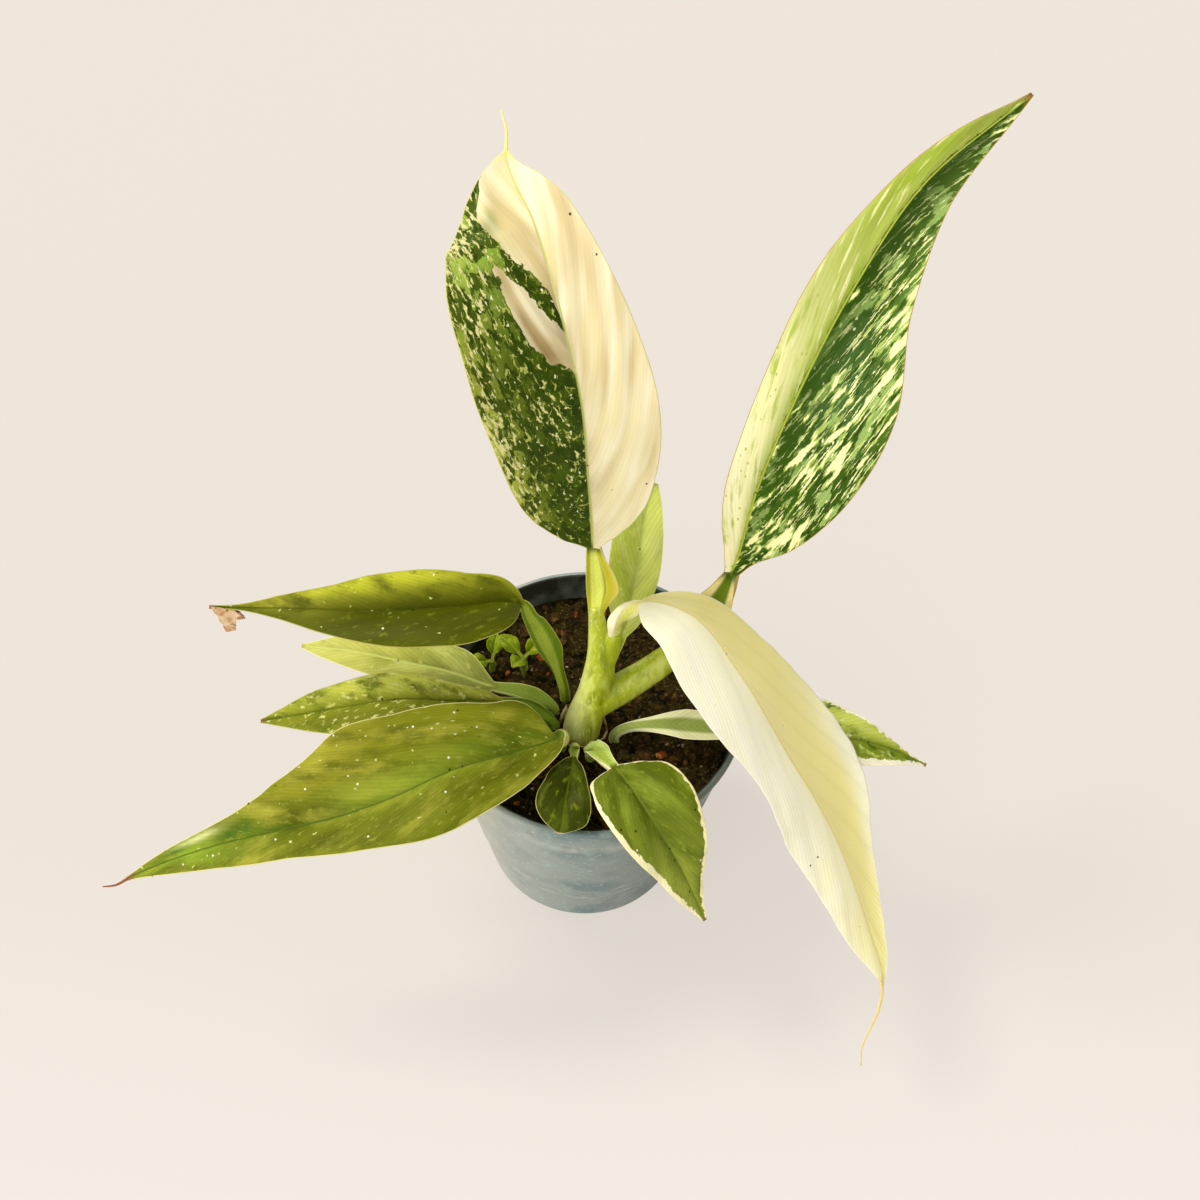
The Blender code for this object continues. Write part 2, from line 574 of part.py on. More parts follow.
def make_soil(parts, helpers, cutters):
    """The filling of the pot: a turned plug with an uneven top and a plain hole for each stem."""
    outer = wall_radius(SOIL_LEVEL, POT_WALL + GAP)
    bottom = POT_WALL + GAP
    rings = [(outer * i / SOIL_TOP_RINGS, SOIL_LEVEL) for i in range(SOIL_TOP_RINGS + 1)]
    lower = wall_radius(bottom, POT_WALL + GAP)
    plug = turned("plug", [*rings, (lower, bottom), (0, bottom)], POT_SIDES, helpers)
    plug = replaced_by_mesh(plug, helpers)
    mesh = plug.data
    for vertex in mesh.vertices:
        x, y, z = vertex.co / MM
        if z > SOIL_LEVEL - 1:
            inward = 1 - (math.hypot(x, y) / outer) ** SOIL_LUMPS_POWER
            vertex.co.z += soil_relief(x, y) * inward * MM
    holes = bpy.data.collections.new("stem_holes")
    cutters.children.link(holes)
    top = SOIL_LEVEL + SOIL_HOLE_RISE
    for leaf in LEAVES:
        x, y, z = leaf.petiole[0]
        if z < SOIL_LEVEL:
            reach = leaf.radius[0] + STEM_LIFT + STEM_CLEARANCE * GAP
            upright_cutter(leaf.name + "_hole", x, y, z - GAP, top, reach, SOIL_HOLE_SIDES, holes)
    for name, (x, y), _, _ in SEEDLINGS:
        reach = SEEDLING_STALK_RADIUS + GAP
        upright_cutter(name + "_hole", x, y, ROOT_BOTTOM - GAP, top, reach, SOIL_HOLE_SIDES, holes)
    x, y = CROWN_FOOT
    reach = CROWN_RADIUS + GAP
    upright_cutter("crown_hole", x, y, CROWN_BOTTOM - GAP, top, reach, CROWN_HOLE_SIDES, holes)
    plug.name = "soil"
    helpers.objects.unlink(plug)
    parts.objects.link(plug)
    mesh.materials.append(material("soil", SOIL_BROWN, SOIL_ROUGHNESS))
    cut = plug.modifiers.new("Stem holes", "BOOLEAN")
    cut.operation = "DIFFERENCE"
    cut.operand_type = "COLLECTION"
    cut.collection = holes
    cut.solver = "EXACT"


def make_seedling(name, foot, fork, tips, parts, helpers):
    """A small weed: an upright stalk that forks into oval leaflets, as one body."""
    x, y = foot
    narrow, gain = SEEDLING_LEAF_TAPER
    radii = [SEEDLING_STALK_RADIUS] * 2
    pieces = [tube(name + "_stalk", [(x, y, ROOT_BOTTOM), (x, y, fork)], radii, helpers, SEEDLING_SIDES)]
    for i, tip in enumerate(tips):
        start = Vector((x, y, fork - SEEDLING_LEAF_DROP))
        reach = Vector(tip) - start
        body = bmesh.new()
        bmesh.ops.create_uvsphere(
            body, u_segments=SEEDLING_SIDES, v_segments=SEEDLING_LEAF_RINGS, radius=1.0
        )
        for vertex in body.verts:
            along = (vertex.co.x + 1) / 2
            vertex.co.x = along * reach.length - SEEDLING_STALK_RADIUS / 2
            vertex.co.y *= SEEDLING_LEAF_HALF_WIDTH * (narrow + gain * along)
            vertex.co.z *= SEEDLING_LEAF_HALF_THICKNESS
        turn = reach.to_track_quat("X", "Z")
        for vertex in body.verts:
            vertex.co = (start + turn @ vertex.co) * MM
        mesh = bpy.data.meshes.new(f"{name}_leaflet_{i + 1}")
        body.to_mesh(mesh)
        body.free()
        pieces.append(new_object(mesh.name, mesh, helpers))
    fused(name, pieces, material(name, SEEDLING_GREEN, SEEDLING_ROUGHNESS), parts)


def main():
    for obj in list(bpy.data.objects):
        bpy.data.objects.remove(obj)
    parts = bpy.data.collections.new("potted_philodendron")
    helpers = bpy.data.collections.new("helpers")
    cutters = bpy.data.collections.new("cutters")
    for collection in (parts, helpers, cutters):
        bpy.context.scene.collection.children.link(collection)
    make_pot(parts, cutters)
    make_soil(parts, helpers, cutters)
    make_crown(parts, helpers)
    make_leaves(parts, helpers)
    for name, foot, fork, tips in SEEDLINGS:
        make_seedling(name, foot, fork, tips, parts, helpers)


main()
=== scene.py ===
"""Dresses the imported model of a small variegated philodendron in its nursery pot.

Every leaf is a loft that follows the same points and half-widths as the solid it stands for, divided
finely enough for its midrib groove, pleats and waved margin. Lengths in tables are millimetres.
"""

import json
import math
from collections import namedtuple

import bmesh
import bpy
import numpy as np
from bpy.props import FloatProperty, FloatVectorProperty, IntProperty, PointerProperty
from mathutils import Matrix, Vector, noise

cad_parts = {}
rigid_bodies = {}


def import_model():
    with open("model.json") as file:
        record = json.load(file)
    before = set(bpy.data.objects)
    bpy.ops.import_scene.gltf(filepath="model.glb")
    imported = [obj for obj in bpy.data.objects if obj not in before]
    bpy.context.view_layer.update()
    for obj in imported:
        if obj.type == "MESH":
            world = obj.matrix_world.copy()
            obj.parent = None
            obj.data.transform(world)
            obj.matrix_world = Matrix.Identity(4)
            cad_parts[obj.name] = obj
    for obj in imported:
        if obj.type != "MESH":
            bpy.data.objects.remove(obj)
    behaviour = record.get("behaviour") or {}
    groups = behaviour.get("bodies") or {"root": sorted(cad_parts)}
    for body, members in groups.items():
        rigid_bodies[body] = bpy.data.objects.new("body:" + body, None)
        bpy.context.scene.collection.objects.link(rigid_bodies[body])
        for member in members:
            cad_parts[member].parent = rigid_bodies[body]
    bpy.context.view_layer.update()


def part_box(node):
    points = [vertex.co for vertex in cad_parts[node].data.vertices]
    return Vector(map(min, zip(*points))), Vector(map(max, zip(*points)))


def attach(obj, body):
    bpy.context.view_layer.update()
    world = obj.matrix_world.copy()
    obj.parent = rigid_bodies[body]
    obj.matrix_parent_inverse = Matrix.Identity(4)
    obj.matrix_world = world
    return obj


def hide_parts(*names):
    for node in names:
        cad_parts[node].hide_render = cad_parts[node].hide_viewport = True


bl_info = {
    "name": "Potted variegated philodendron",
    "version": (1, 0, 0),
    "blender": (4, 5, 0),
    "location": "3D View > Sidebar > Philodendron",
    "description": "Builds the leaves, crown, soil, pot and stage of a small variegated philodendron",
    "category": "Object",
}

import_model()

MM = 0.001
BODY = "root"

# Where the petioles and the crown start, under the soil, and where they come out of it
ROOT_BOTTOM = 74.0
ROOT_TOP = 87.5

# Half-widths are given at these shares of the blade's length
WIDTH_STATIONS = (0.0, 0.05, 0.15, 0.3, 0.45, 0.6, 0.75, 0.9, 1.0)
TIP_HALF_WIDTH = 0.6

# The petiole: how much further apart its cross-sections lie than the blade's, where its sheath starts and how
# sharply it swells, and where its round section starts to flatten and is flat, as shares of its length
PETIOLE_SPACING = 1.3
SHEATH_START = 0.25
SHEATH_POWER = 1.5
FLAT_START = 0.3
FLAT_END = 0.6

# The thread that some tips end in
TAIL_RADIUS = 0.5
TAIL_TAPER = 0.6
TAIL_RINGS = 20

# The blade: how much closer its cross-sections lie at both ends, over what length its direction is read, the
# share of its length where its arch is full, how far the midrib's keel reaches under it in radii of the
# petiole, and where its margin thins and by how much
END_CROWDING = 0.06
DIRECTION_REACH = 0.5
ARCH_FULL = 0.125
KEEL_REACH = 1.6
MARGIN_START = 0.96
MARGIN_THINNING = 0.6

# How steeply the side veins lean forward at the blade's base, against their mean, how much more they do at
# its tip, and how they curve
LEAN_AT_BASE = 0.8
LEAN_GAIN = 0.7
VEIN_CURVE = 0.03

# Relief of the blade: blades narrower than the full width have less of it. The margin's waves, the lengths
# of the coarse and fine pleats, the unevenness, the frill that only the margin has, and the midrib's groove
FULL_RELIEF_WIDTH = 12
WAVES = 2.5
PLEAT_LENGTH = 10
FINE_PLEAT_LENGTH = 4
FINE_PLEAT_SHARE = 0.4
UNEVEN_SIZE = 26
UNEVEN_HEIGHT = 0.25
FRILL_SIZE = 9
FRILL_HEIGHT = 0.22
GROOVE_WIDTH = 0.8

# A distance too small to matter, in millimetres
HAIR = 1e-6


def colour(code):
    """A linear colour with alpha from an sRGB hex code."""
    shares = [int(code[i : i + 2], 16) / 255 for i in (1, 3, 5)]
    linear = [v / 12.92 if v <= 0.04045 else ((v + 0.055) / 1.055) ** 2.4 for v in shares]
    return (*linear, 1.0)


def hue(title, text, code):
    return FloatVectorProperty(
        name=title, description=text, subtype="COLOR", size=4, min=0, max=1, default=colour(code)
    )


def length(title, text, millimetres):
    return FloatProperty(name=title, description=text, default=millimetres * MM, unit="LENGTH")


class PlantSettings(bpy.types.PropertyGroup):
    blade_edge: length("Blade edge", "Thickness of a blade at its margin", 0.5)
    rib_groove: length("Midrib groove", "Depth of the groove along the upper side", 0.35)
    margin_wave: length("Margin wave", "How far the margins wave up and down", 0.8)
    rings: IntProperty(name="Rings", description="Cross-sections along a large blade", default=130, min=20)
    stem: hue("Young stem", "The crown's skin", "#b4c022")
    membrane: hue("Dry membrane", "The papery scale round the crown's foot", "#9a7a4e")
    dead: hue("Dried tissue", "The torn scrap at the upper left leaf's tip", "#dfc29a")


class PotSettings(bpy.types.PropertyGroup):
    base_radius: length("Base radius", "Outer radius of the pot's base", 37.0)
    wall: length("Wall", "Thickness of the pot's wall", 1.2)
    lip_out: length("Lip", "How far the lip stands out from the wall", 0.9)
    lip_depth: length("Lip depth", "Height of the lip", 2.6)
    drain_radius: length("Drain hole", "Radius of each drain hole in the base", 4.0)
    drain_ring: length("Drain ring", "How far the drain holes lie from the pot's middle", 24.0)
    drain_holes: IntProperty(name="Drain holes", description="Drain holes in the base", default=6, min=1)
    plastic: hue("Plastic", "The pot's moulded plastic", "#8b9893")
    lime: hue("Lime marks", "What hard water left on the plastic", "#c6c6b8")
    sides: IntProperty(name="Sides", description="Flats round the pot", default=144, min=24)


class SoilSettings(bpy.types.PropertyGroup):
    level: length("Level", "Height of the soil's surface over the pot's base", 84.5)
    earth: hue("Peat", "The fine dark mix", "#2e260e")
    bark: hue("Bark", "Bark chips", "#3f2e12")
    perlite: hue("Perlite", "Pale mineral grains", "#a39a8a")
    clay: hue("Clay", "Pebbles of fired clay", "#8a4a1c")


class StageSettings(bpy.types.PropertyGroup):
    floor: hue("Floor", "The plain surface that the pot stands on", "#7c7772")
    glow: hue("Floor glow", "What the floor, a light table, gives off by itself", "#cac3bb")
    front_glow: hue("Front glow", "What the floor gives off nearer to the camera", "#d9d5d0")
    key: FloatProperty(name="Window light", description="Strength of the light from the window", default=1.8)
    fill: FloatProperty(
        name="Fill light", description="Strength of the light from the camera's left", default=1.35
    )
    sky: FloatProperty(name="Room light", description="Strength of the light from all round", default=0.7)


# petiole: points of its middle line from its foot to the blade's base; blade: points of the midrib from
# there to the tip; tail: points of the thread that some tips end in; faces: which way the upper side looks
# at the petiole, the blade's base and its tip; left, right: half-widths at the stations, seen from the
# upper side; wings: how far the petiole's sheath stands out; fold: how far each half rises, in degrees;
# arch: how far each half bulges, as a share of its width; pleat: relief of the side veins; veins: how
# steeply the side veins run forward in each half
Leaf = namedtuple(
    "Leaf", "name look radius wings petiole blade tail faces fold arch left right pleat veins"
)


def rooted(x, y):
    """The upright stretch of a petiole that stands in the soil."""
    middle = (ROOT_BOTTOM + ROOT_TOP) / 2
    return [(x, y, ROOT_BOTTOM), (x, y, middle), (x, y, ROOT_TOP)]


LEAVES = (
    Leaf(
        "leaf_centre_upright", "half_marbled", (2.3, 2.2), (0.6, 5.5),
        petiole=[(1.1, 1.0, 118.1), (0.9, 3.8, 127), (0.4, 7, 138), (-0.4, 10, 149)],
        blade=[(-1, 12, 158), (-3, 13, 186), (-6, 17, 215), (-12, 25, 237), (-19, 38, 253), (-28, 58, 261)],
        tail=[(-28.2, 62, 264.3), (-29.8, 66, 267.6)],
        faces=((0.05, -1, 0.3), (0.05, -1, 0.3), (0.1, -1, 0.3)), fold=(18, 18), arch=(0.02, 0.03),
        left=(9.5, 17.5, 24, 27.5, 28, 27, 17), right=(7.5, 15.5, 20.5, 21.5, 19, 14.5, 7.5),
        pleat=0.55, veins=(1.4, 1.9),
    ),
    Leaf(
        "leaf_right_upright", "streaked", (4.2, 2.3), (4.5, 3.5),
        petiole=[(17.9, 0.7, 107.6), (25, 3.4, 114), (33, 7, 124), (39, 11, 135)],
        blade=[(42, 14, 146), (46, 18, 183), (54, 28, 211), (65, 42, 234), (81, 60, 255), (108, 78, 272)],
        tail=[],
        faces=((-0.35, -0.8, 0.5), (-0.35, -0.8, 0.5), (-0.45, -0.7, 0.55)), fold=(22, 22), arch=(0.05, 0.02),
        left=(4.5, 8, 10, 11, 11, 7.5, 4), right=(6, 17.5, 29, 31, 19.5, 12, 5.5),
        pleat=0.2, veins=(4.0, 2.1),
    ),
    Leaf(
        "leaf_right_drooping", "ivory", (1.9, 2.3), (0.4, 0.4),
        petiole=[(6.1, 0.7, 117.7), (7, 1.4, 126), (9, 1.2, 135)],
        blade=[(14, 3.4, 142), (29, -3, 147), (45, -19, 139), (60, -34, 122), (77, -49, 100),
               (90, -68, 78), (97, -82, 62)],
        tail=[(97, -87, 54), (96, -90, 43), (95, -93, 33), (96, -96, 25)],
        faces=((0.5, -0.9, 0.3), (0.5, 0.2, 1), (0.5, -0.5, 0.6)), fold=(-5, -5), arch=(-0.07, 0.09),
        left=(11.5, 15.5, 23.5, 28.5, 26, 13.5, 6), right=(13, 20.5, 21.5, 17, 17.5, 14, 8),
        pleat=0.2, veins=(1.3, 2.6),
    ),
    Leaf(
        "leaf_left_upper", "olive", (1.9, 1.7), (1.2, 5.0),
        petiole=[*rooted(-8.5, 4.5), (-11, 6.5, 98), (-15.5, 8, 110), (-20, 8.5, 124)],
        blade=[(-23, 7, 134), (-41, 2, 138), (-63, 0, 136), (-89, 4, 130), (-124, 10, 120)],
        tail=[],
        faces=((-0.5, -0.6, 0.6), (-0.1, -0.35, 1), (0.0, -0.45, 1)), fold=(20, 20), arch=(0.10, 0.10),
        left=(8.5, 14, 14, 11.5, 8.5, 4, 1), right=(6.5, 10, 12.5, 11, 7.5, 4, 1),
        pleat=0.12, veins=(1.8, 1.8),
    ),
    Leaf(
        "leaf_left_back", "pale_olive", (1.7, 1.5), (1.0, 1.0),
        petiole=[*rooted(-12, -1.5), (-16, -1.5, 93), (-23, -2, 98)],
        blade=[(-32, -2, 100), (-46, 2, 101), (-63, 6, 100), (-82, 12, 96), (-100, 17, 90)],
        tail=[],
        faces=((-0.3, -0.3, 1), (-0.1, -0.3, 1), (0.0, -0.4, 1)), fold=(6, 10), arch=(0.08, 0.08),
        left=(5, 8, 8, 7.5, 7, 5.5, 3), right=(4, 8, 8.5, 8, 7, 5, 2.5),
        pleat=0.1, veins=(1.6, 1.6),
    ),
    Leaf(
        "leaf_left_middle", "olive_marbled", (1.7, 1.5), (1.0, 1.0),
        petiole=[*rooted(-11.5, -8), (-15, -8.5, 94), (-21, -9.5, 101)],
        blade=[(-29, -11, 105), (-44, -14, 109), (-60, -15, 110), (-76, -16, 106), (-106, -18, 97)],
        tail=[],
        faces=((-0.3, -0.3, 1), (-0.1, -0.3, 1), (0.0, -0.4, 1)), fold=(14, 14), arch=(0.08, 0.08),
        left=(4.5, 7, 10.5, 12, 10.5, 7.5, 3.5), right=(3, 5, 7.5, 8.5, 8.5, 6.5, 3),
        pleat=0.1, veins=(1.8, 1.8),
    ),
    Leaf(
        "leaf_left_long", "olive_zoned", (1.9, 1.8), (0.8, 0.8),
        petiole=[*rooted(-8.8, -15.6), (-9.2, -18, 96)],
        blade=[(-9, -23, 104), (-23, -32, 109), (-40, -40, 111), (-57, -49, 109), (-72, -54, 105),
               (-93, -57, 98), (-114, -60, 91), (-141, -67, 80)],
        tail=[(-145, -68.5, 78), (-149, -69, 77.5)],
        faces=((-0.3, -0.9, 0.5), (-0.1, -0.2, 1), (0.0, -0.3, 1)), fold=(12, 12), arch=(0.07, 0.07),
        left=(7, 14.5, 19, 14, 10.5, 8.5, 4.5), right=(12.5, 17.5, 23, 25, 17, 7.5, 3.5),
        pleat=0.15, veins=(1.9, 1.9),
    ),
    Leaf(
        "leaf_front", "cream_edged", (1.8, 1.5), (2.4, 2.0),
        petiole=[*rooted(1.2, -18.3), (2.6, -21.4, 95), (5, -26.5, 100)],
        blade=[(9, -32, 103), (14, -40, 106), (20, -49, 105), (29, -58, 94), (40, -68, 72)],
        tail=[],
        faces=((0.3, -0.9, 0.5), (0.1, -0.1, 1), (0.1, -0.5, 1)), fold=(12, 12), arch=(0.10, 0.10),
        left=(6, 13, 16, 14.5, 10.5, 5.5, 2), right=(9, 13, 13.5, 12, 9, 6.5, 3),
        pleat=0.15, veins=(1.6, 1.6),
    ),
    Leaf(
        "leaf_front_small", "round_olive", (1.3, 1.1), (0.4, 0.4),
        petiole=[*rooted(-3.8, -19), (-3.9, -21.8, 95.5)],
        blade=[(-4, -28, 101), (-5, -38, 104), (-6, -46, 103), (-7, -54, 99)],
        tail=[],
        faces=((0, -0.9, 0.5), (0, -0.2, 1), (0, -0.3, 1)), fold=(8, 8), arch=(0.08, 0.08),
        left=(1.5, 3, 5, 6.5, 8, 8.5, 6.5), right=(2, 4, 6.5, 7.5, 9, 8.5, 5),
        pleat=0.05, veins=(1.5, 1.5),
    ),
    Leaf(
        "leaf_right_low", "pale_edged", (1.8, 1.6), (3.4, 3.4),
        petiole=[*rooted(9, -11), (13, -11.8, 94), (23, -12.4, 98), (40, -13.5, 99.5)],
        blade=[(58, -15.5, 99.5), (74, -16, 100), (89, -15, 98), (100, -15, 94), (112, -17, 88)],
        tail=[],
        faces=((0.0, -0.4, 1), (0.1, -0.3, 1), (0.1, -0.5, 1)), fold=(14, 14), arch=(0.06, 0.06),
        left=(5, 11, 13, 10, 6, 3, 1), right=(3.5, 8, 10, 9.5, 8, 6, 2.5),
        pleat=0.12, veins=(1.8, 1.8),
    ),
    Leaf(
        "leaf_back", "pale_green", (1.7, 1.5), (0.6, 0.6),
        petiole=[*rooted(3.5, 7), (5.5, 11, 96)],
        blade=[(10, 18, 104), (13, 27, 122), (14, 31, 136), (15, 36, 146), (18, 43, 153)],
        tail=[],
        faces=((0.1, -1, 0.4), (0.1, -1, 0.4), (0.1, -1, 0.4)), fold=(10, 10), arch=(0.06, 0.06),
        left=(3, 6.5, 8.5, 9.5, 10, 9, 4.5), right=(3, 5.5, 7, 7.5, 7.5, 6.5, 4),
        pleat=0.12, veins=(1.6, 1.6),
    ),
)

# Shares of a half-blade's width where its columns of points lie, closer at the midrib and the margin
ACROSS = (0.0, 0.02, 0.045, 0.075, 0.11, 0.16, 0.22, 0.29, 0.36, 0.43, 0.5, 0.57, 0.64, 0.71, 0.78,
          0.84, 0.9, 0.95, 0.98, 1.0)


def add(tree, kind, inputs=None, **settings):
    """Adds a node. inputs: socket name or number to a value or to another node's output socket."""
    made = tree.nodes.new(kind)
    for key, value in settings.items():
        setattr(made, key, value)
    for key, value in (inputs or {}).items():
        if isinstance(value, bpy.types.NodeSocket):
            tree.links.new(value, made.inputs[key])
        else:
            made.inputs[key].default_value = value
    return made


def through(knots, values, at):
    """A smooth curve through the values (numbers or points) at the knots, read at the given places."""
    knots = np.asarray(knots, float)
    values = np.asarray(values, float)
    at = np.asarray(at, float)
    slopes = np.gradient(values, knots, axis=0)
    low = np.clip(np.searchsorted(knots, at, side="right") - 1, 0, len(knots) - 2)
    span = knots[low + 1] - knots[low]
    s = (at - knots[low]) / span
    if values.ndim > 1:
        span = span[:, None]
        s = s[:, None]
    start = (2 * s**3 - 3 * s**2 + 1) * values[low] + (s**3 - 2 * s**2 + s) * span * slopes[low]
    end = (3 * s**2 - 2 * s**3) * values[low + 1] + (s**3 - s**2) * span * slopes[low + 1]
    return start + end


def lengths_along(points):
    steps = np.linalg.norm(np.diff(np.asarray(points, float), axis=0), axis=1)
    return np.concatenate([[0.0], np.cumsum(steps)])


def unit(vectors):
    return vectors / np.linalg.norm(vectors, axis=-1, keepdims=True)


def smooth(low, high, value):
    """0 below low, 1 above high, and a soft step between them."""
    share = np.clip((value - low) / (high - low), 0, 1)
    return share * share * (3 - 2 * share)


def ripple(x, y, size, seed):
    """A smooth unevenness between about -1 and 1, with lumps of about the given size."""
    total = 0
    for i in range(5):
        turn = seed * 1.7 + i * 2.4
        pace = 2 * math.pi / size * (0.6 + 0.22 * i)
        total = total + np.sin(pace * (x * math.cos(turn) + y * math.sin(turn)) + seed * 3.1 + i * 1.9)
    return total / 3.2


def middle_line(leaf):
    return [*leaf.petiole, *leaf.blade, *leaf.tail]


def cross_sections(leaf, rings):
    """Where the cross-sections lie along the leaf's middle line, and where its blade starts and ends."""
    knots = lengths_along(middle_line(leaf))
    base = knots[len(leaf.petiole)]
    tip = knots[len(leaf.petiole) + len(leaf.blade) - 1]
    pace = (tip - base) / rings
    petiole = np.linspace(0, base, int(base / pace / PETIOLE_SPACING), endpoint=False)
    shares = np.linspace(0, 1, rings)
    blade = base + (tip - base) * (shares - END_CROWDING * np.sin(2 * np.pi * shares) / np.pi)
    tail = np.linspace(tip, knots[-1], TAIL_RINGS)[1:] if leaf.tail else np.array([])
    return np.concatenate([petiole, blade, tail]), base, tip


def leaf_axes(leaf, at, along_petiole, in_petiole, t):
    """The points of the middle line at the cross-sections, and the directions to the right and up there."""
    points = middle_line(leaf)
    knots = lengths_along(points)
    before = through(knots, points, np.maximum(at - DIRECTION_REACH, 0))
    after = through(knots, points, np.minimum(at + DIRECTION_REACH, knots[-1]))
    ahead = unit(after - before)
    at_foot, at_base, at_tip = np.asarray(leaf.faces, float)
    facing = np.where(
        in_petiole, at_foot + (at_base - at_foot) * along_petiole, at_base + (at_tip - at_base) * t
    )
    right = unit(np.cross(ahead, facing))
    return through(knots, points, at), right, np.cross(right, ahead)


def blade_height(leaf, plant, place, width, t):
    """How high the blade's upper side lies over the plane of its midrib at each point, in millimetres."""
    s, x, y, seed = (place[key] for key in ("s", "x", "y", "seed"))
    along_vein = place["along_vein"]
    between_veins = place["between_veins"]
    out = np.abs(s)
    fold = np.radians(np.where(s < 0, *leaf.fold))
    arch = np.where(s < 0, *leaf.arch) * np.minimum(1.0, t / ARCH_FULL)
    relief = min(1.0, max(*leaf.left, *leaf.right) / FULL_RELIEF_WIDTH)
    on_blade = smooth(0.0, 0.06, t) * (1 - smooth(0.93, 1.0, t))
    wave = relief * plant.margin_wave / MM * out**2 * np.sin(np.pi * t)
    wave = wave * np.sin(2 * np.pi * WAVES * t + np.sign(s))
    pleats = ripple(0.15 * along_vein, between_veins, PLEAT_LENGTH, seed)
    fine = ripple(0.2 * along_vein, between_veins, FINE_PLEAT_LENGTH, seed + 2)
    pleats = leaf.pleat * (pleats + FINE_PLEAT_SHARE * fine)
    pleats = pleats * smooth(0.05, 0.4, out) * (1 - 0.5 * smooth(0.8, 1, out)) * on_blade
    uneven = UNEVEN_HEIGHT * relief * ripple(x, y, UNEVEN_SIZE, seed) * out * on_blade
    frill = FRILL_HEIGHT * relief * ripple(x, y, FRILL_SIZE, seed + 0.5) * out**5 * on_blade
    groove = plant.rib_groove / MM * np.exp(-((x / GROOVE_WIDTH) ** 2)) * (1 - t) ** 0.5 * on_blade
    high = width * out * np.sin(fold) + 4 * arch * width * out * (1 - out)
    return high + wave + pleats + uneven + frill - groove


def leaf_surface(leaf, plant, rings, seed):
    """The leaf's upper and lower faces as grids of points, with each point's place on the leaf."""
    at, base, tip = cross_sections(leaf, rings)
    end = at[-1]
    t = np.clip((at - base) / (tip - base), 0, 1)[:, None]
    along_petiole = np.clip(at / base, 0, 1)[:, None]
    in_petiole = (at < base - HAIR)[:, None]
    in_tail = (at > tip + HAIR)[:, None]
    middle, right, up = leaf_axes(leaf, at, along_petiole, in_petiole, t)
    at = at[:, None]

    # The radius of the petiole and of the thread, and how flat the section is
    edge = plant.blade_edge / MM
    foot_radius, base_radius = leaf.radius
    radius = np.where(
        in_petiole, foot_radius + (base_radius - foot_radius) * along_petiole,
        base_radius + (edge - base_radius) * t,
    )
    tail_share = np.clip((at - tip) / max(end - tip, HAIR), 0, 1)
    radius = np.where(in_tail, TAIL_RADIUS * (1 - TAIL_TAPER * tail_share), radius)
    flat = np.clip((along_petiole - FLAT_START) / (FLAT_END - FLAT_START), 0, 1)
    flat = np.where(in_tail, 0.0, flat)

    # The half-widths: the petiole's with its sheath, and the blade's
    s = np.array([-v for v in reversed(ACROSS)] + list(ACROSS[1:]))[None, :]
    swelling = np.clip((along_petiole - SHEATH_START) / (1 - SHEATH_START), 0, 1)
    swelling = np.sin(np.pi * swelling) ** SHEATH_POWER
    halves = []
    for widths, wing in ((leaf.left, leaf.wings[0]), (leaf.right, leaf.wings[1])):
        blade = through(WIDTH_STATIONS, [base_radius, *widths, TIP_HALF_WIDTH], t)
        halves.append(np.where(in_petiole, radius + wing * swelling, blade))
    width = np.where(s < 0, *halves)

    out = np.abs(s)
    x = s * width
    y = at - base + 0 * s
    lean = np.where(s < 0, *leaf.veins) * (LEAN_AT_BASE + LEAN_GAIN * t)
    slant = np.sqrt(1 + lean**2)
    place = {
        "x": x, "y": y, "s": s + 0 * y, "t": (at - base) / (tip - base) + 0 * s,
        "along_vein": (np.abs(x) + lean * y) / slant,
        "between_veins": (y - lean * np.abs(x) - VEIN_CURVE * x**2) / slant,
        "margin": (1 - out) * width, "seed": seed,
    }
    high = blade_height(leaf, plant, place, width, t)
    keel = np.sqrt(np.clip(1 - (out * width / np.maximum(radius * KEEL_REACH, 0.1)) ** 2, 0, 1))
    thick = edge * (1 - MARGIN_THINNING * smooth(MARGIN_START, 1, out))
    thick = thick + np.maximum(0, 2 * radius - edge) * keel
    folded = np.radians(np.where(s < 0, *leaf.fold))
    flat_across = np.sign(s) * width * out * np.cos(folded)
    turn = s * math.pi / 2
    round_high = radius * np.cos(turn) * (out < 1)
    across = flat * flat_across + (1 - flat) * radius * np.sin(turn)
    faces = []
    for flat_high, round_z in ((high, round_high), (high - thick, -round_high)):
        height = flat * flat_high + (1 - flat) * round_z
        faces.append(middle[:, None] + right[:, None] * across[..., None] + up[:, None] * height[..., None])
    return faces, place


def grid_mesh(name, upper, lower):
    """A closed mesh between two grids of points of the same size, which meet along their borders."""
    rows, columns = upper.shape[:2]
    points = np.concatenate([upper.reshape(-1, 3), lower.reshape(-1, 3)]) * MM
    number = np.arange(rows * columns).reshape(rows, columns)
    a, b, c, d = number[:-1, :-1], number[:-1, 1:], number[1:, 1:], number[1:, :-1]
    below = rows * columns
    quads = [
        np.stack([a, b, c, d], -1).reshape(-1, 4),
        np.stack([a, d, c, b], -1).reshape(-1, 4) + below,
    ]
    rim = [*number[0, :-1], *number[:-1, -1], *number[-1, :0:-1], *number[:0:-1, 0]]
    following = rim[1:] + rim[:1]
    quads.append(np.array([(j, i, i + below, j + below) for i, j in zip(rim, following)]))
    mesh = bpy.data.meshes.new(name)
    mesh.from_pydata(points.tolist(), [], np.concatenate(quads).tolist())
    mesh.shade_smooth()
    return mesh


# The field that holds a stored value of each kind
STORED_FIELDS = {"FLOAT": "value", "FLOAT_VECTOR": "vector", "FLOAT_COLOR": "color"}


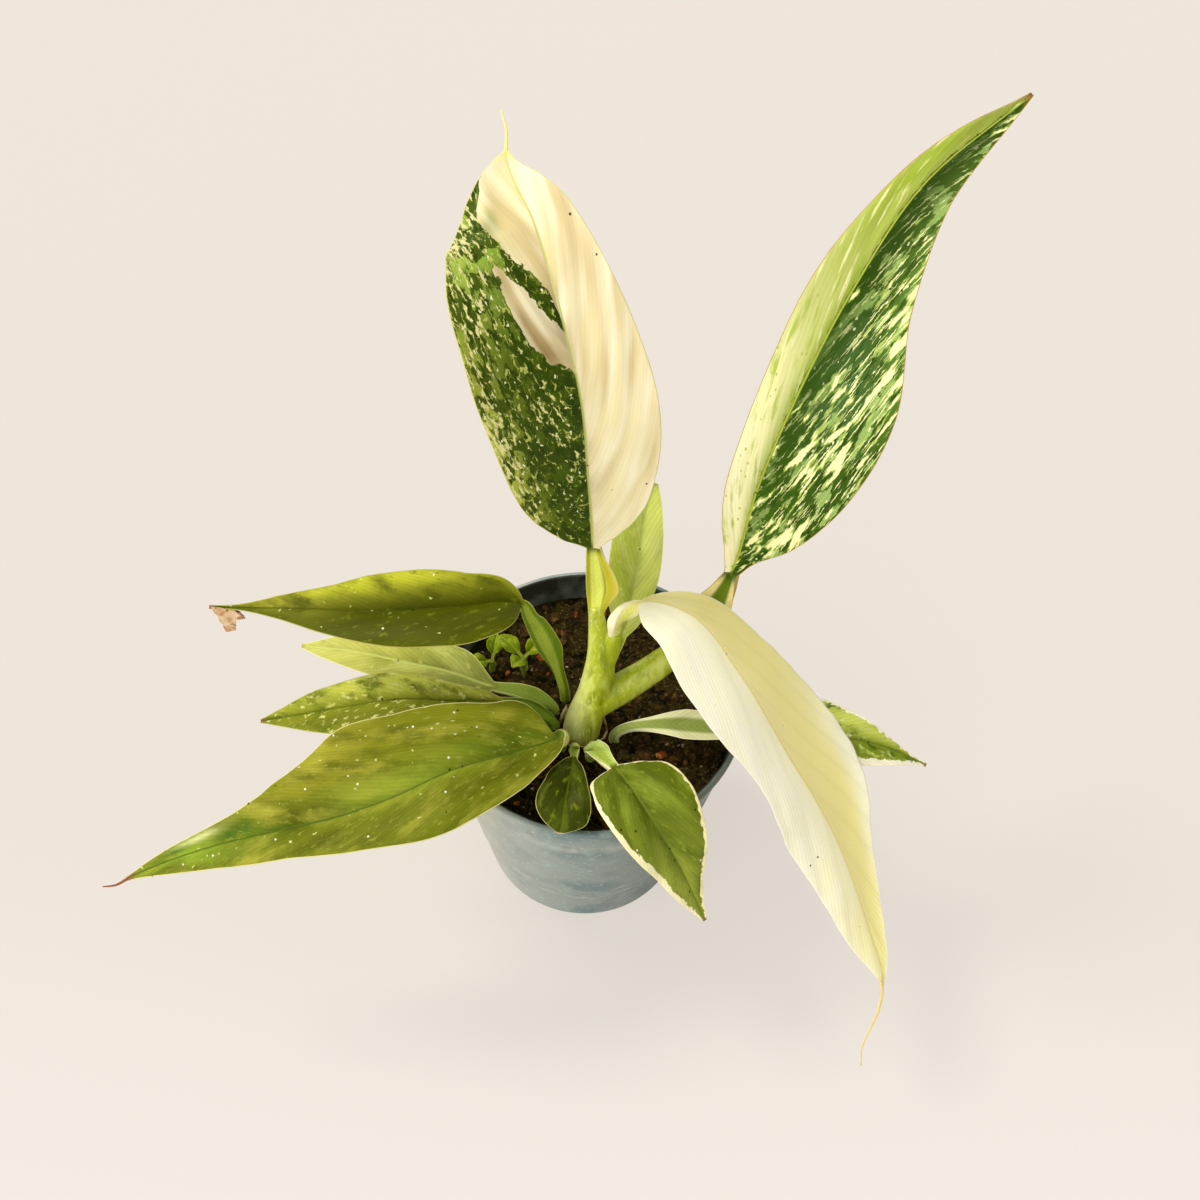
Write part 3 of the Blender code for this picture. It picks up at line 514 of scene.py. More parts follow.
def put(mesh, name, kind, values):
    """Stores a value at each of the mesh's points."""
    made = mesh.attributes.new(name, kind, "POINT")
    made.data.foreach_set(STORED_FIELDS[kind], np.asarray(values, np.float32).ravel())


def within(s, t, centre, reach):
    """1 at a zone's centre, falling softly towards 0 past its reach across and along the blade."""
    return np.exp(-(((s - centre[0]) / reach[0]) ** 2) - ((t - centre[1]) / reach[1]) ** 2)


def painted(ground, zones, s, t):
    """A colour at each point: the ground, a code or colours, with soft zones laid over it in turn."""
    ground = np.array(colour(ground)) if isinstance(ground, str) else ground
    result = np.broadcast_to(ground, (*s.shape, 4)).copy()
    for code, centre, reach, strength in zones:
        share = strength * within(s, t, centre, reach)
        result += share[..., None] * (np.array(colour(code)) - result)
    return result


# Further inside the green, or outside it, than any uneven border reaches, in millimetres
FAR_INSIDE = 20.0

# The marbled half of the centre leaf. Each border is given by shares of the half-width and by how many
# millimetres along the blade the border lies there
BAND_TOP = ((0.01, 79), (0.04, 86), (0.16, 93), (0.36, 99), (0.57, 108), (0.71, 114), (0.78, 119), (1, 123))
BAND_FOOT = ((0.02, 76), (0.16, 83.5), (0.29, 89.5), (0.43, 95), (0.52, 98))
MASS_TOP = ((0, 64), (0.04, 66), (0.22, 70), (0.34, 75), (0.4, 80), (0.46, 88), (0.54, 99), (1, 117))


# How much deeper inside the green a point lies for each millimetre from the midrib, on a leaf with one green
# half, and how deep the midrib itself lies where the green reaches over it
HALF_STEEPNESS = 3
HALF_OVERLAP = 1.2


def always(place):
    return FAR_INSIDE + 0 * place["x"]


# The ivory leaf's left half, which holds its painted shade
def left_half(place):
    return -HALF_STEEPNESS * place["x"]


def right_half(place):
    return HALF_STEEPNESS * place["x"] + HALF_OVERLAP


def left_half_marbled(place):
    """Green in the left half: a dark mass below and a band above it, with a cream wedge between."""
    x, y = place["x"], place["y"]
    out = np.abs(place["s"])
    borders = (BAND_TOP, BAND_FOOT, MASS_TOP)
    band_top, band_foot, mass_top = (np.interp(out, *zip(*border)) for border in borders)
    inside = np.maximum(mass_top - y, np.minimum(y - band_foot, band_top - y))
    return np.where(x < 0.01, inside, -FAR_INSIDE)


def within_edge(left, right):
    """Green up to a cream edge whose width in each half is given at shares of the blade's length."""

    def green(place):
        t = np.clip(place["t"], 0, 1)
        return place["margin"] - np.where(place["s"] < 0, np.interp(t, *left), np.interp(t, *right))

    return green


# Layer: a colour laid over the green. kind: patches, whole cells, the net between cells, or dots; size: in
# millimetres; stretch: how far it is drawn out along the side veins; share: how much of the green it covers;
# soft: how softly its patches end; halo: the colour round them, and how far it reaches; detail: how jagged
# they are
Layer = namedtuple(
    "Layer", "kind code size stretch share soft halo detail", defaults=(1.0, 0.3, 0.03, None, 4.0)
)

# Look: one leaf's colours. green, cream: ground colours, with the zones over them, each with its colour, its
# centre and its reach as shares across and along the blade, and its strength; border: how far inside the
# green a point lies; ragged: how unevenly the green ends, in millimetres; layers, cream_layers: what lies
# over the green and over the cream, in turn; flecks: the layer of cream flecks, with the zones that have more
# of them; edge, rib: colour and width in millimetres of the lines along the margin and the midrib; specks:
# shares of white and of dark specks; under: the underside's colour; veins: how much the fine and the side
# veins darken the blade; translucence: how much light passes through it, and how far in millimetres; shake:
# how torn the layers' outlines are, in millimetres; calm: zones with fewer layers
Look = namedtuple(
    "Look",
    "slot green zones border cream cream_zones ragged layers flecks fleck_zones edge edge_width rib rib_width"
    " specks petiole sheath tip roughness under veins cream_layers translucence petiole_zones shake calm",
    defaults=(
        "#f4ebb4", (), 0.5, (), None, (), "#d9d29a", 0.5, "#6f7f2c", 0.4, (0.1, 0.1), "#7f9a2e", "#7f9a2e",
        "#8a5a3a", 0.5, "#b9c47e", (0.1, 0.1), (), (0.25, 1.2), (), 2.0, (),
    ),
)


def soft_patches(dark, light):
    """The faint uneven tones of a mature olive leaf."""
    return (
        Layer("patch", dark, 11, 2.2, 0.25, 0.16), Layer("patch", light, 8, 2.5, 0.25, 0.16),
        Layer("patch", light, 2.0, 2.0, 0.15, 0.08),
    )


LOOKS = {
    "half_marbled": Look(
        "leaf_marbled", "#3e5606",
        (
            ("#98b84a", (-0.95, 0.82), (0.7, 0.15), 1.0), ("#b0bc4c", (-1.05, 0.36), (0.33, 0.32), 1.0),
            ("#344e04", (-0.2, 0.3), (0.4, 0.3), 0.7),
        ),
        left_half_marbled, cream="#f1e4bc",
        cream_zones=(
            ("#e7d8a6", (0.35, 0.45), (0.3, 0.5), 0.7), ("#ddcca2", (0.55, 0.85), (0.7, 0.25), 0.85),
            ("#ddcf94", (-0.35, 0.86), (0.4, 0.12), 0.9), ("#dcda8c", (0.0, 0.75), (0.1, 0.3), 0.4),
            # Painted shade: the olive smudge along the band's upper border, and the tan and dark brown of the
            # cream wedge, darkest at the band's foot
            ("#6d7a40", (-0.5, 0.86), (0.16, 0.05), 0.8), ("#7a6228", (-0.2, 0.6), (0.28, 0.1), 1.0),
            ("#4f3e14", (-0.2, 0.655), (0.2, 0.035), 0.95), ("#6f6a3c", (-0.42, 0.74), (0.12, 0.04), 0.8),
        ),
        ragged=1.1,
        layers=(
            Layer("cell", "#2a4204", 4.2, 1.4, 0.55),
            Layer("patch", "#223804", 3.2, 1.6, 0.35, 0.06, detail=2.0),
            Layer("patch", "#5a7220", 1.4, 2.4, 0.14, 0.03), Layer("net", "#b4bb66", 3.4, 1.9, 0.5, 0.012),
            Layer("net", "#8f9c44", 1.8, 2.2, 0.25, 0.012), Layer("dot", "#ecebc0", 1.4, 1.4, 0.12),
        ),
        flecks=Layer("patch", "#dcd59a", 1.5, 2.6, 0.0, 0.015, ("#7f9440", 0.03)),
        fleck_zones=(
            ((-1.0, 0.84), (0.4, 0.13), 0.5), ((-0.95, 0.38), (0.25, 0.25), 0.44),
            ((-0.36, 0.45), (0.15, 0.08), 0.32), ((-0.15, 0.3), (0.15, 0.15), 0.22),
            ((-0.6, 0.66), (0.3, 0.1), 0.16),
        ),
        edge="#c9c878", edge_width=0.3, rib="#ccd078", rib_width=0.45, specks=(0.0, 0.12),
        petiole="#e2ea6c", sheath="#c6bd30", tip="#f0e98c", veins=(0.03, 0.05),
        petiole_zones=(
            ("#6d7a12", (0.42, -0.12), (0.05, 0.1), 0.8), ("#8ba524", (-0.8, -0.1), (0.3, 0.3), 0.5),
            ("#dccf6c", (1.0, -0.1), (0.2, 0.2), 0.8),
        ),
        cream_layers=(
            # Painted shade in the folds of the pleats: the tan patches, with paler bands between them
            Layer("patch", "#c9b68a", 8.0, 4.0, 0.3, 0.22, detail=1.0),
            Layer("patch", "#f8f0d2", 5.0, 6.0, 0.25, 0.2, detail=1.0),
        ),
        translucence=(0.4, 2.0),
    ),
    "streaked": Look(
        "leaf_marbled", "#2c4c04",
        (
            # The grey-blue zone in the middle of the green half is a painted reflection of the sky in the
            # blade's gloss
            ("#163600", (0.1, 0.85), (0.5, 0.4), 1.0), ("#426636", (0.45, 0.45), (0.25, 0.12), 0.85),
            ("#5c8430", (0.95, 0.6), (0.3, 0.2), 0.8), ("#3f6a14", (0.5, 0.12), (0.5, 0.12), 0.7),
        ),
        right_half, cream="#f8f5b4",
        cream_zones=(
            ("#9cb034", (-0.6, 0.8), (0.9, 0.38), 1.0), ("#b0c248", (-0.05, 0.4), (0.22, 0.6), 0.9),
            ("#fefad0", (-0.8, 0.1), (0.6, 0.3), 0.95), ("#93a048", (-0.6, 0.98), (0.8, 0.1), 0.95),
        ),
        ragged=0.5,
        layers=(
            Layer("patch", "#94b062", 5.5, 2.6, 0.34, 0.02, detail=3.0),
            Layer("patch", "#b6c86c", 1.5, 8.0, 0.17, 0.02, detail=3.0),
            Layer("patch", "#234204", 2.2, 2.8, 0.34, 0.02, detail=3.0),
            Layer("patch", "#eef0b0", 0.7, 14.0, 0.2, 0.02, detail=2.0),
            Layer("dot", "#f0f0c0", 1.4, 1.6, 0.14),
        ),
        flecks=Layer("patch", "#f8f3b8", 3.6, 3.8, 0.0, 0.02, ("#a4bc58", 0.03), 2.0),
        fleck_zones=(
            ((0.5, 0.36), (0.35, 0.1), 0.42), ((0.9, 0.56), (0.25, 0.12), 0.5),
            ((0.7, 0.14), (0.5, 0.1), 0.47),
        ),
        shake=1.2,
        calm=(((0.0, 0.6), (0.32, 0.6), 0.9), ((0.3, 0.84), (0.5, 0.16), 0.85)),
        edge="#b08a4c", edge_width=0.3, rib="#bccb4c", rib_width=0.4, specks=(0.0, 0.05),
        petiole="#68801c", sheath="#eee09a", tip="#8a6a30", veins=(0.05, 0.05),
        petiole_zones=(("#b4be3a", (0.0, -0.25), (2.0, 0.1), 1.0),),
        cream_layers=(
            Layer("patch", "#a8be48", 2.2, 7.0, 0.25, 0.08), Layer("patch", "#f4f2b8", 1.4, 12.0, 0.2, 0.06),
            Layer("dot", "#b4c060", 1.4, 1.6, 0.2),
        ),
        translucence=(0.35, 1.5),
    ),
    # The ivory leaf: its left half is the same ivory tissue as its right, painted yellower and darker as
    # shade, because it faces away from the light, and the pale strip at its left margin is painted light,
    # where the margin curls up to the light
    "ivory": Look(
        "leaf_ivory", "#f0e398",
        (
            ("#fffbd8", (-0.95, 0.62), (0.2, 0.2), 1.0), ("#f8eda4", (-0.1, 0.3), (0.2, 0.3), 0.5),
            ("#fdf2a6", (-0.3, 0.92), (0.8, 0.16), 0.8),
        ),
        left_half, cream="#fffad4",
        cream_zones=(
            ("#fbee9c", (0.2, 0.92), (1.0, 0.22), 0.8), ("#fdf4b8", (0.1, 0.5), (0.15, 0.4), 0.7),
        ),
        ragged=0.25, edge="#fdf6d8", edge_width=0.4, rib="#e2d47c", rib_width=0.3, specks=(0.02, 0.06),
        petiole="#e3e67c", sheath="#f0ea9c", tip="#dcc47c", roughness=0.33, under="#f3eab0",
        veins=(0.06, 0.04), cream_layers=(Layer("patch", "#fffce4", 12, 3.0, 0.2, 0.3, detail=2.0),),
        translucence=(0.4, 2.5),
    ),
    "olive": Look(
        "leaf_olive", "#5a6004",
        (
            # Painted light and shade: the bright yellow-green upper half, where the sky's sheen lies, and the
            # dark lower half
            ("#c4c836", (0.85, 0.45), (0.4, 0.5), 0.95), ("#434902", (-0.5, 0.35), (0.6, 0.4), 0.9),
            ("#b2b23c", (0.2, 0.74), (0.6, 0.13), 0.85),
        ),
        always,
        layers=(
            Layer("patch", "#464c04", 9, 2.2, 0.3, 0.15), Layer("patch", "#6f7a1c", 2.2, 1.8, 0.12, 0.08),
            Layer("dot", "#c6cf7c", 1.3, 1.4, 0.05),
        ),
        edge="#a8a650", edge_width=0.35, rib="#454f08", rib_width=0.15, specks=(0.05, 0.12),
        petiole="#a8ba44", sheath="#6f8a20",
    ),
    "olive_marbled": Look(
        "leaf_olive", "#8e9626",
        # The dark olive zone on the lower half is painted shade
        (("#d3d85e", (0.7, 0.35), (0.5, 0.4), 0.95), ("#6c6e14", (-0.5, 0.5), (0.5, 0.5), 0.8)), always,
        layers=(
            Layer("patch", "#5c6a0e", 3.6, 2.4, 0.3, 0.12), Layer("patch", "#d5d984", 1.4, 2.2, 0.2, 0.05),
        ),
        edge="#b8b46c", edge_width=0.35, rib="#4f5a08", rib_width=0.15, specks=(0.08, 0.14),
        petiole="#7f9a2e", sheath="#5c7a1c",
    ),
    "olive_zoned": Look(
        "leaf_olive", "#6c7410",
        (
            # Painted light: the yellow zones on the upper half (#82861a, #a09c2e) are a patch of sunlight,
            # and the pale one near the tip (#e0e2a0) a broad sheen
            ("#82861a", (0.7, 0.3), (0.4, 0.25), 0.9), ("#a09c2e", (0.8, 0.52), (0.35, 0.12), 0.95),
            ("#98aa34", (0.1, 0.36), (0.25, 0.2), 0.85), ("#4c6a10", (0.15, 0.12), (0.3, 0.1), 0.7),
            ("#9cba38", (0.0, 0.86), (0.9, 0.12), 0.95), ("#2c681c", (0.3, 0.74), (0.25, 0.05), 0.95),
            ("#346418", (0.45, 0.88), (0.2, 0.03), 0.9), ("#e0e2a0", (0.7, 0.82), (0.2, 0.05), 0.85),
            ("#3f6414", (0.03, 0.56), (0.06, 0.14), 0.8), ("#5e7a14", (-0.2, 0.7), (0.3, 0.1), 0.6),
        ),
        always,
        layers=(
            Layer("patch", "#4f5606", 9, 2.4, 0.3, 0.16), Layer("patch", "#a9a83c", 7, 2.5, 0.2, 0.16),
            Layer("patch", "#8c9434", 1.2, 3.0, 0.15, 0.06), Layer("dot", "#d4d88c", 1.3, 1.5, 0.06),
        ),
        edge="#d8d28c", edge_width=0.35, rib="#3c5c10", rib_width=0.18, specks=(0.22, 0.14),
    ),
    "cream_edged": Look(
        "leaf_green", "#56640a",
        (("#b2be4a", (0.2, 0.75), (1.0, 0.35), 0.9), ("#4c5a06", (0.1, 0.2), (0.6, 0.3), 0.6)),
        within_edge(
            ((0, 0.3, 0.5, 0.8, 1), (0.6, 0.7, 1.3, 1.4, 0.3)),
            ((0, 0.2, 0.5, 0.8, 1), (0.5, 1.1, 2.1, 1.4, 0.3)),
        ),
        cream="#fbf5c0", ragged=0.4, layers=soft_patches("#485804", "#8a9a30"),
        edge="#f8efbc", edge_width=0.3, specks=(0.1, 0.3), petiole="#a4b84a", sheath="#b8d070", tip="#8a5a33",
    ),
    "round_olive": Look(
        "leaf_olive", "#2c3102", (("#4e5810", (0.3, 0.9), (0.7, 0.3), 0.7),), always,
        layers=soft_patches("#2c3402", "#6c7c18"), edge="#c8c870", edge_width=0.3, rib="#4a5808",
        rib_width=0.3, petiole="#7f8f2e", sheath="#7f8f2e", tip="#c9b98a", roughness=0.45,
    ),
    "pale_edged": Look(
        "leaf_green", "#8f9e28",
        (("#d0dc68", (-0.7, 0.4), (0.5, 0.5), 0.95), ("#5c7408", (0.3, 0.5), (0.4, 0.5), 0.6)),
        within_edge(((0, 0.5, 1), (0.6, 0.8, 0.4)), ((0, 0.5, 1), (2.0, 3.0, 0.8))),
        cream="#faf4d8", ragged=0.7,
        layers=(
            Layer("patch", "#c9d678", 3, 2.2, 0.22, 0.06), Layer("patch", "#456204", 4, 1.8, 0.26, 0.08),
        ),
        flecks=Layer("patch", "#f3f2c4", 2.4, 2.4, 0.0, 0.03),
        fleck_zones=(((-0.6, 0.35), (0.5, 0.4), 0.25),),
        edge="#f6eccc", edge_width=0.4, petiole="#8f9f52", sheath="#e2e4b4", tip="#8a4a2c",
    ),
    "pale_green": Look(
        "leaf_pale_green", "#ccd85c",
        (("#e0e884", (0.5, 0.6), (0.7, 0.5), 0.8), ("#a9be44", (-0.4, 0.5), (0.4, 0.5), 0.5)), always,
        layers=soft_patches("#98b044", "#dfe88c"), edge="#dce28c", edge_width=0.3, rib="#ced878",
        rib_width=0.4, specks=(0.03, 0.05), petiole="#9ab04a", sheath="#9ab04a", tip="#a89a50",
        translucence=(0.35, 1.5),
    ),
    "seedling": Look(
        "seedling", "#708402", (("#98ac1c", (0.4, 0.5), (0.6, 0.5), 0.7),), always,
        layers=(Layer("patch", "#566a02", 3, 1.5, 0.25, 0.1), Layer("patch", "#a8b83c", 2, 1.5, 0.25, 0.1)),
        edge="#9cac34", edge_width=0.15, rib="#a4b43c", rib_width=0.2, specks=(0.0, 0.0), petiole="#94a43c",
        sheath="#94a43c", tip="#94a43c", roughness=0.4,
    ),
}

LOOKS["pale_olive"] = LOOKS["pale_green"]._replace(
    green="#b4b850", layers=soft_patches("#949a3c", "#c8cc70"),
    zones=(("#d2d27c", (0.0, 1.0), (1.5, 0.4), 0.7), ("#7c8a4c", (0.0, 0.1), (1.5, 0.25), 0.7)),
)


# How far apart in depth the patterns of two leaves, and of a leaf's two halves, are read
LEAF_DEPTH = 40.0
HALF_DEPTH = 17.0


def paint_leaf(mesh, look, place):
    """Stores the leaf's colours and the places its finish needs, for the upper and then the lower face."""
    s = place["s"]
    t = place["t"]
    green = painted(look.green, look.zones, s, t)
    cream = painted(look.cream, look.cream_zones, s, t)

    # The petiole's own colours, with its sheath's wings, take over before the blade's base
    petiole = smooth(0.0, -0.03, t)[..., None]
    stem = painted(look.petiole, [], s, t)
    wing = smooth(0.35, 0.6, np.abs(s))[..., None]
    stem = stem + wing * (np.array(colour(look.sheath)) - stem)
    stem = painted(stem, look.petiole_zones, s, t)
    green = green + petiole * (stem - green)

    # Where the green ends, where it is flecked with cream, and where its layers thin out
    border = np.where(t < 0, FAR_INSIDE, look.border(place))
    flecks = (look.flecks.share if look.flecks else -1.0) + 0 * s
    for centre, reach, more in look.fleck_zones:
        flecks = flecks + more * within(s, t, centre, reach)
    flecks = np.where(t < 0.01, 0.0, flecks)
    lively = 1.0 + 0 * s
    for centre, reach, less in look.calm:
        lively = lively * (1 - less * within(s, t, centre, reach))
    depth = LEAF_DEPTH * place["seed"] + np.where(s > 0, HALF_DEPTH, 0.0)
    grain = np.stack([place["along_vein"], place["between_veins"], depth], -1)
    spots = np.stack([place["x"], place["y"], place["margin"]], -1)
    above = np.stack([s, t, 1 + 0 * s], -1)
    below = np.stack([s, t, 0 * s], -1)
    for name, kind, upper, lower in (
        ("leaf_green", "FLOAT_COLOR", green, green), ("leaf_cream", "FLOAT_COLOR", cream, cream),
        ("leaf_border", "FLOAT", border, border), ("leaf_flecks", "FLOAT", flecks, flecks),
        ("leaf_lively", "FLOAT", lively, lively), ("leaf_grain", "FLOAT_VECTOR", grain, grain),
        ("leaf_mm", "FLOAT_VECTOR", spots, spots), ("leaf_share", "FLOAT_VECTOR", above, below),
    ):
        put(mesh, name, kind, np.concatenate([upper, lower]))


# A patch ends where its noise falls under a level: this one for a share of 0, less this span for a share of 1
PATCH_TOP = 0.68
PATCH_SPAN = 0.36
# The net's lines are broken by a broad noise, and a whole share widens them by the span
NET_BREAK = -0.3
NET_TOP = -0.225
NET_SPAN = 0.15
# How sharply a cell ends, and where a dot ends and is full, as shares of a cell
CELL_STEP = 0.02
DOT_RIM = 0.28
DOT_CORE = 0.2
# How much of the ground a layer and its halo cover
LAYER_COVER = 0.9
HALO_COVER = 0.8
# The patterns of layers are read at depths that are counted from 0 for the green and from this for the cream
LAYER_DEPTH = 5.0
CREAM_FIRST = 20


def pattern(tree, layer, where, torn, flecks):
    """The value that a layer is cut from, and the values of it where the layer starts and is full."""
    if layer.kind == "patch":
        value = add(
            tree, "ShaderNodeTexNoise",
            {"Vector": where, "Scale": 1.0, "Detail": layer.detail, "Roughness": 0.55},
        ).outputs[0]
        if not flecks:
            level = PATCH_TOP - PATCH_SPAN * layer.share
            return value, level - layer.soft, level + layer.soft
        value = add(
            tree, "ShaderNodeMath", {0: flecks, 1: PATCH_SPAN, 2: value}, operation="MULTIPLY_ADD"
        ).outputs[0]
        return value, PATCH_TOP - layer.soft, PATCH_TOP + layer.soft
    if layer.kind == "net":
        value = add(
            tree, "ShaderNodeTexVoronoi", {"Vector": where, "Scale": 1.0}, feature="DISTANCE_TO_EDGE"
        ).outputs["Distance"]
        broken = add(tree, "ShaderNodeTexNoise", {"Vector": torn, "Scale": 0.35, "Detail": 2.0}).outputs[0]
        value = add(
            tree, "ShaderNodeMath", {0: broken, 1: NET_BREAK, 2: value}, operation="MULTIPLY_ADD"
        ).outputs[0]
        level = NET_SPAN * layer.share + NET_TOP
        return value, level + layer.soft, level - layer.soft
    cell = add(tree, "ShaderNodeTexVoronoi", {"Vector": where, "Scale": 1.0})
    chance = add(tree, "ShaderNodeSeparateColor", {0: cell.outputs["Color"]}).outputs["Red"]
    if layer.kind == "cell":
        return chance, 1 - layer.share, 1 - layer.share + CELL_STEP
    off = add(tree, "ShaderNodeMath", {0: chance, 1: layer.share}, operation="GREATER_THAN").outputs[0]
    value = add(tree, "ShaderNodeMath", {0: off, 1: cell.outputs["Distance"]}, operation="ADD").outputs[0]
    return value, DOT_RIM, DOT_CORE


def laid_over(tree, ground, layers, torn, blade, first, flecks=None):
    """The ground with each layer's patches, cells, net or dots over it in turn, drawn out along the veins.

    first: the number that the layers' depths are counted from. flecks: a stored share, in place of theirs.
    """
    for number, layer in enumerate(layers, first):
        depth = 0.0 if layer.kind in ("cell", "net") else LAYER_DEPTH * number
        scale = (1 / (layer.size * layer.stretch), 1 / layer.size, 1.0)
        where = add(
            tree, "ShaderNodeMapping", {"Vector": torn, "Location": (0.0, 0.0, depth), "Scale": scale}
        ).outputs[0]
        value, start, full = pattern(tree, layer, where, torn, flecks)
        masks = [(layer.code, 0.0, LAYER_COVER)]
        if layer.halo:
            masks.insert(0, (*layer.halo, HALO_COVER))
        for code, reach, cover in masks:
            mask = add(
                tree, "ShaderNodeMapRange",
                {"Value": value, "From Min": start - reach, "From Max": full - reach, "To Max": cover},
                interpolation_type="SMOOTHSTEP",
            ).outputs[0]
            mask = add(tree, "ShaderNodeMath", {0: mask, 1: blade}, operation="MULTIPLY").outputs[0]
            ground = add(
                tree, "ShaderNodeMix", {"Factor": mask, "A": ground, "B": colour(code)}, data_type="RGBA"
            ).outputs["Result"]
    return ground


def torn_grain(tree, grain, shake):
    """The grain shaken by some millimetres, so that every outline that is read from it is torn."""
    shift = add(tree, "ShaderNodeTexNoise", {"Vector": grain, "Scale": 0.9, "Detail": 3.0}).outputs["Color"]
    shift = add(
        tree, "ShaderNodeVectorMath", {0: shift, 1: (0.5, 0.5, 0.5)}, operation="SUBTRACT"
    ).outputs[0]
    return add(
        tree, "ShaderNodeVectorMath", {0: shift, 1: (shake, shake, 0.0), 2: grain}, operation="MULTIPLY_ADD"
    ).outputs[0]


def green_share(tree, border, torn, ragged):
    """1 inside the green's uneven border and 0 outside it."""
    uneven = add(tree, "ShaderNodeTexNoise", {"Vector": torn, "Scale": 0.35, "Detail": 4.0}).outputs[0]
    uneven = add(
        tree, "ShaderNodeMapRange",
        {"Value": uneven, "From Min": 0.35, "From Max": 0.65, "To Min": -ragged, "To Max": ragged},
        clamp=False,
    ).outputs[0]
    inside = add(tree, "ShaderNodeMath", {0: border, 1: uneven}, operation="ADD").outputs[0]
    return add(
        tree, "ShaderNodeMapRange", {"Value": inside, "From Min": -0.1, "From Max": 0.15},
        interpolation_type="SMOOTHSTEP",
    ).outputs[0]


# The veins' spacing in millimetres and how far they wander. A wave of scale 1 is this many millimetres long
VEINS = {"fine": (1.3, 3.0), "side": (9.0, 1.5)}
WAVE_LENGTH = 0.314

# Specks: the white ones are dust and mineral spots, the dark ones insects' feeding marks. Both lie in cells
# about 3 mm across, and are full inside the core and gone past the rim, as shares of a cell
SPECKS = (("#f4ecd8", 0.0), ("#2c2008", 70.0))
SPECK_SCALE = 0.3
SPECK_RIM = 0.13
SPECK_CORE = 0.07


def vein_waves(tree, grain):
    """The fine and the side veins, as waves drawn along the blade."""
    return {
        key: add(
            tree, "ShaderNodeTexWave",
            {
                "Vector": grain, "Scale": WAVE_LENGTH / spacing, "Distortion": wander, "Detail": 2.0,
                "Detail Scale": 0.5,
            },
            bands_direction="Y",
        ).outputs["Fac"]
        for key, (spacing, wander) in VEINS.items()
    }


def rib_mask(tree, look, across, along):
    """1 on the midrib, whose pale line narrows towards the tip."""
    away = add(tree, "ShaderNodeMath", {0: across}, operation="ABSOLUTE").outputs[0]
    reach = add(
        tree, "ShaderNodeMapRange", {"Value": along, "To Min": look.rib_width, "To Max": 0.15}
    ).outputs[0]
    inside = add(tree, "ShaderNodeMath", {0: reach, 1: away}, operation="SUBTRACT").outputs[0]
    return add(
        tree, "ShaderNodeMapRange", {"Value": inside, "From Min": -0.3, "From Max": 0.2, "To Max": 0.85},
        interpolation_type="SMOOTHSTEP",
    ).outputs[0]


def edge_mask(tree, look, margin):
    """1 on the thin line along the blade's margin."""
    return add(
        tree, "ShaderNodeMapRange",
        {"Value": margin, "From Min": look.edge_width, "From Max": look.edge_width * 0.4},
        interpolation_type="SMOOTHSTEP",
    ).outputs[0]


def speck_mask(tree, spots, shift, amount):
    """1 on small round specks, which an amount of the cells have."""
    moved = add(tree, "ShaderNodeVectorMath", {0: spots, 1: (shift, shift, 0.0)}, operation="ADD").outputs[0]
    flat = add(
        tree, "ShaderNodeVectorMath", {0: moved, 1: (1.0, 1.0, 0.0)}, operation="MULTIPLY"
    ).outputs[0]
    cell = add(tree, "ShaderNodeTexVoronoi", {"Vector": flat, "Scale": SPECK_SCALE})
    chance = add(tree, "ShaderNodeSeparateColor", {0: cell.outputs["Color"]}).outputs["Red"]
    picked = add(tree, "ShaderNodeMath", {0: chance, 1: amount}, operation="LESS_THAN").outputs[0]
    near = add(
        tree, "ShaderNodeMapRange",
        {"Value": cell.outputs["Distance"], "From Min": SPECK_RIM, "From Max": SPECK_CORE},
    ).outputs[0]
    return add(tree, "ShaderNodeMath", {0: picked, 1: near}, operation="MULTIPLY").outputs[0]


def vein_shade(tree, look, waves):
    """How much the fine and the side veins darken the blade."""
    fine = add(
        tree, "ShaderNodeMapRange", {"Value": waves["fine"], "To Min": 1 - look.veins[0], "To Max": 1.01}
    ).outputs[0]
    side = add(
        tree, "ShaderNodeMapRange",
        {"Value": waves["side"], "From Max": 0.3, "To Min": 1 - look.veins[1], "To Max": 1.0},
    ).outputs[0]
    return add(tree, "ShaderNodeMath", {0: fine, 1: side}, operation="MULTIPLY").outputs[0]


def new_finish(name):
    """A new material with its node tree and its shader."""
    made = bpy.data.materials.new(name)
    made.use_nodes = True
    return made, made.node_tree, made.node_tree.nodes["Principled BSDF"]


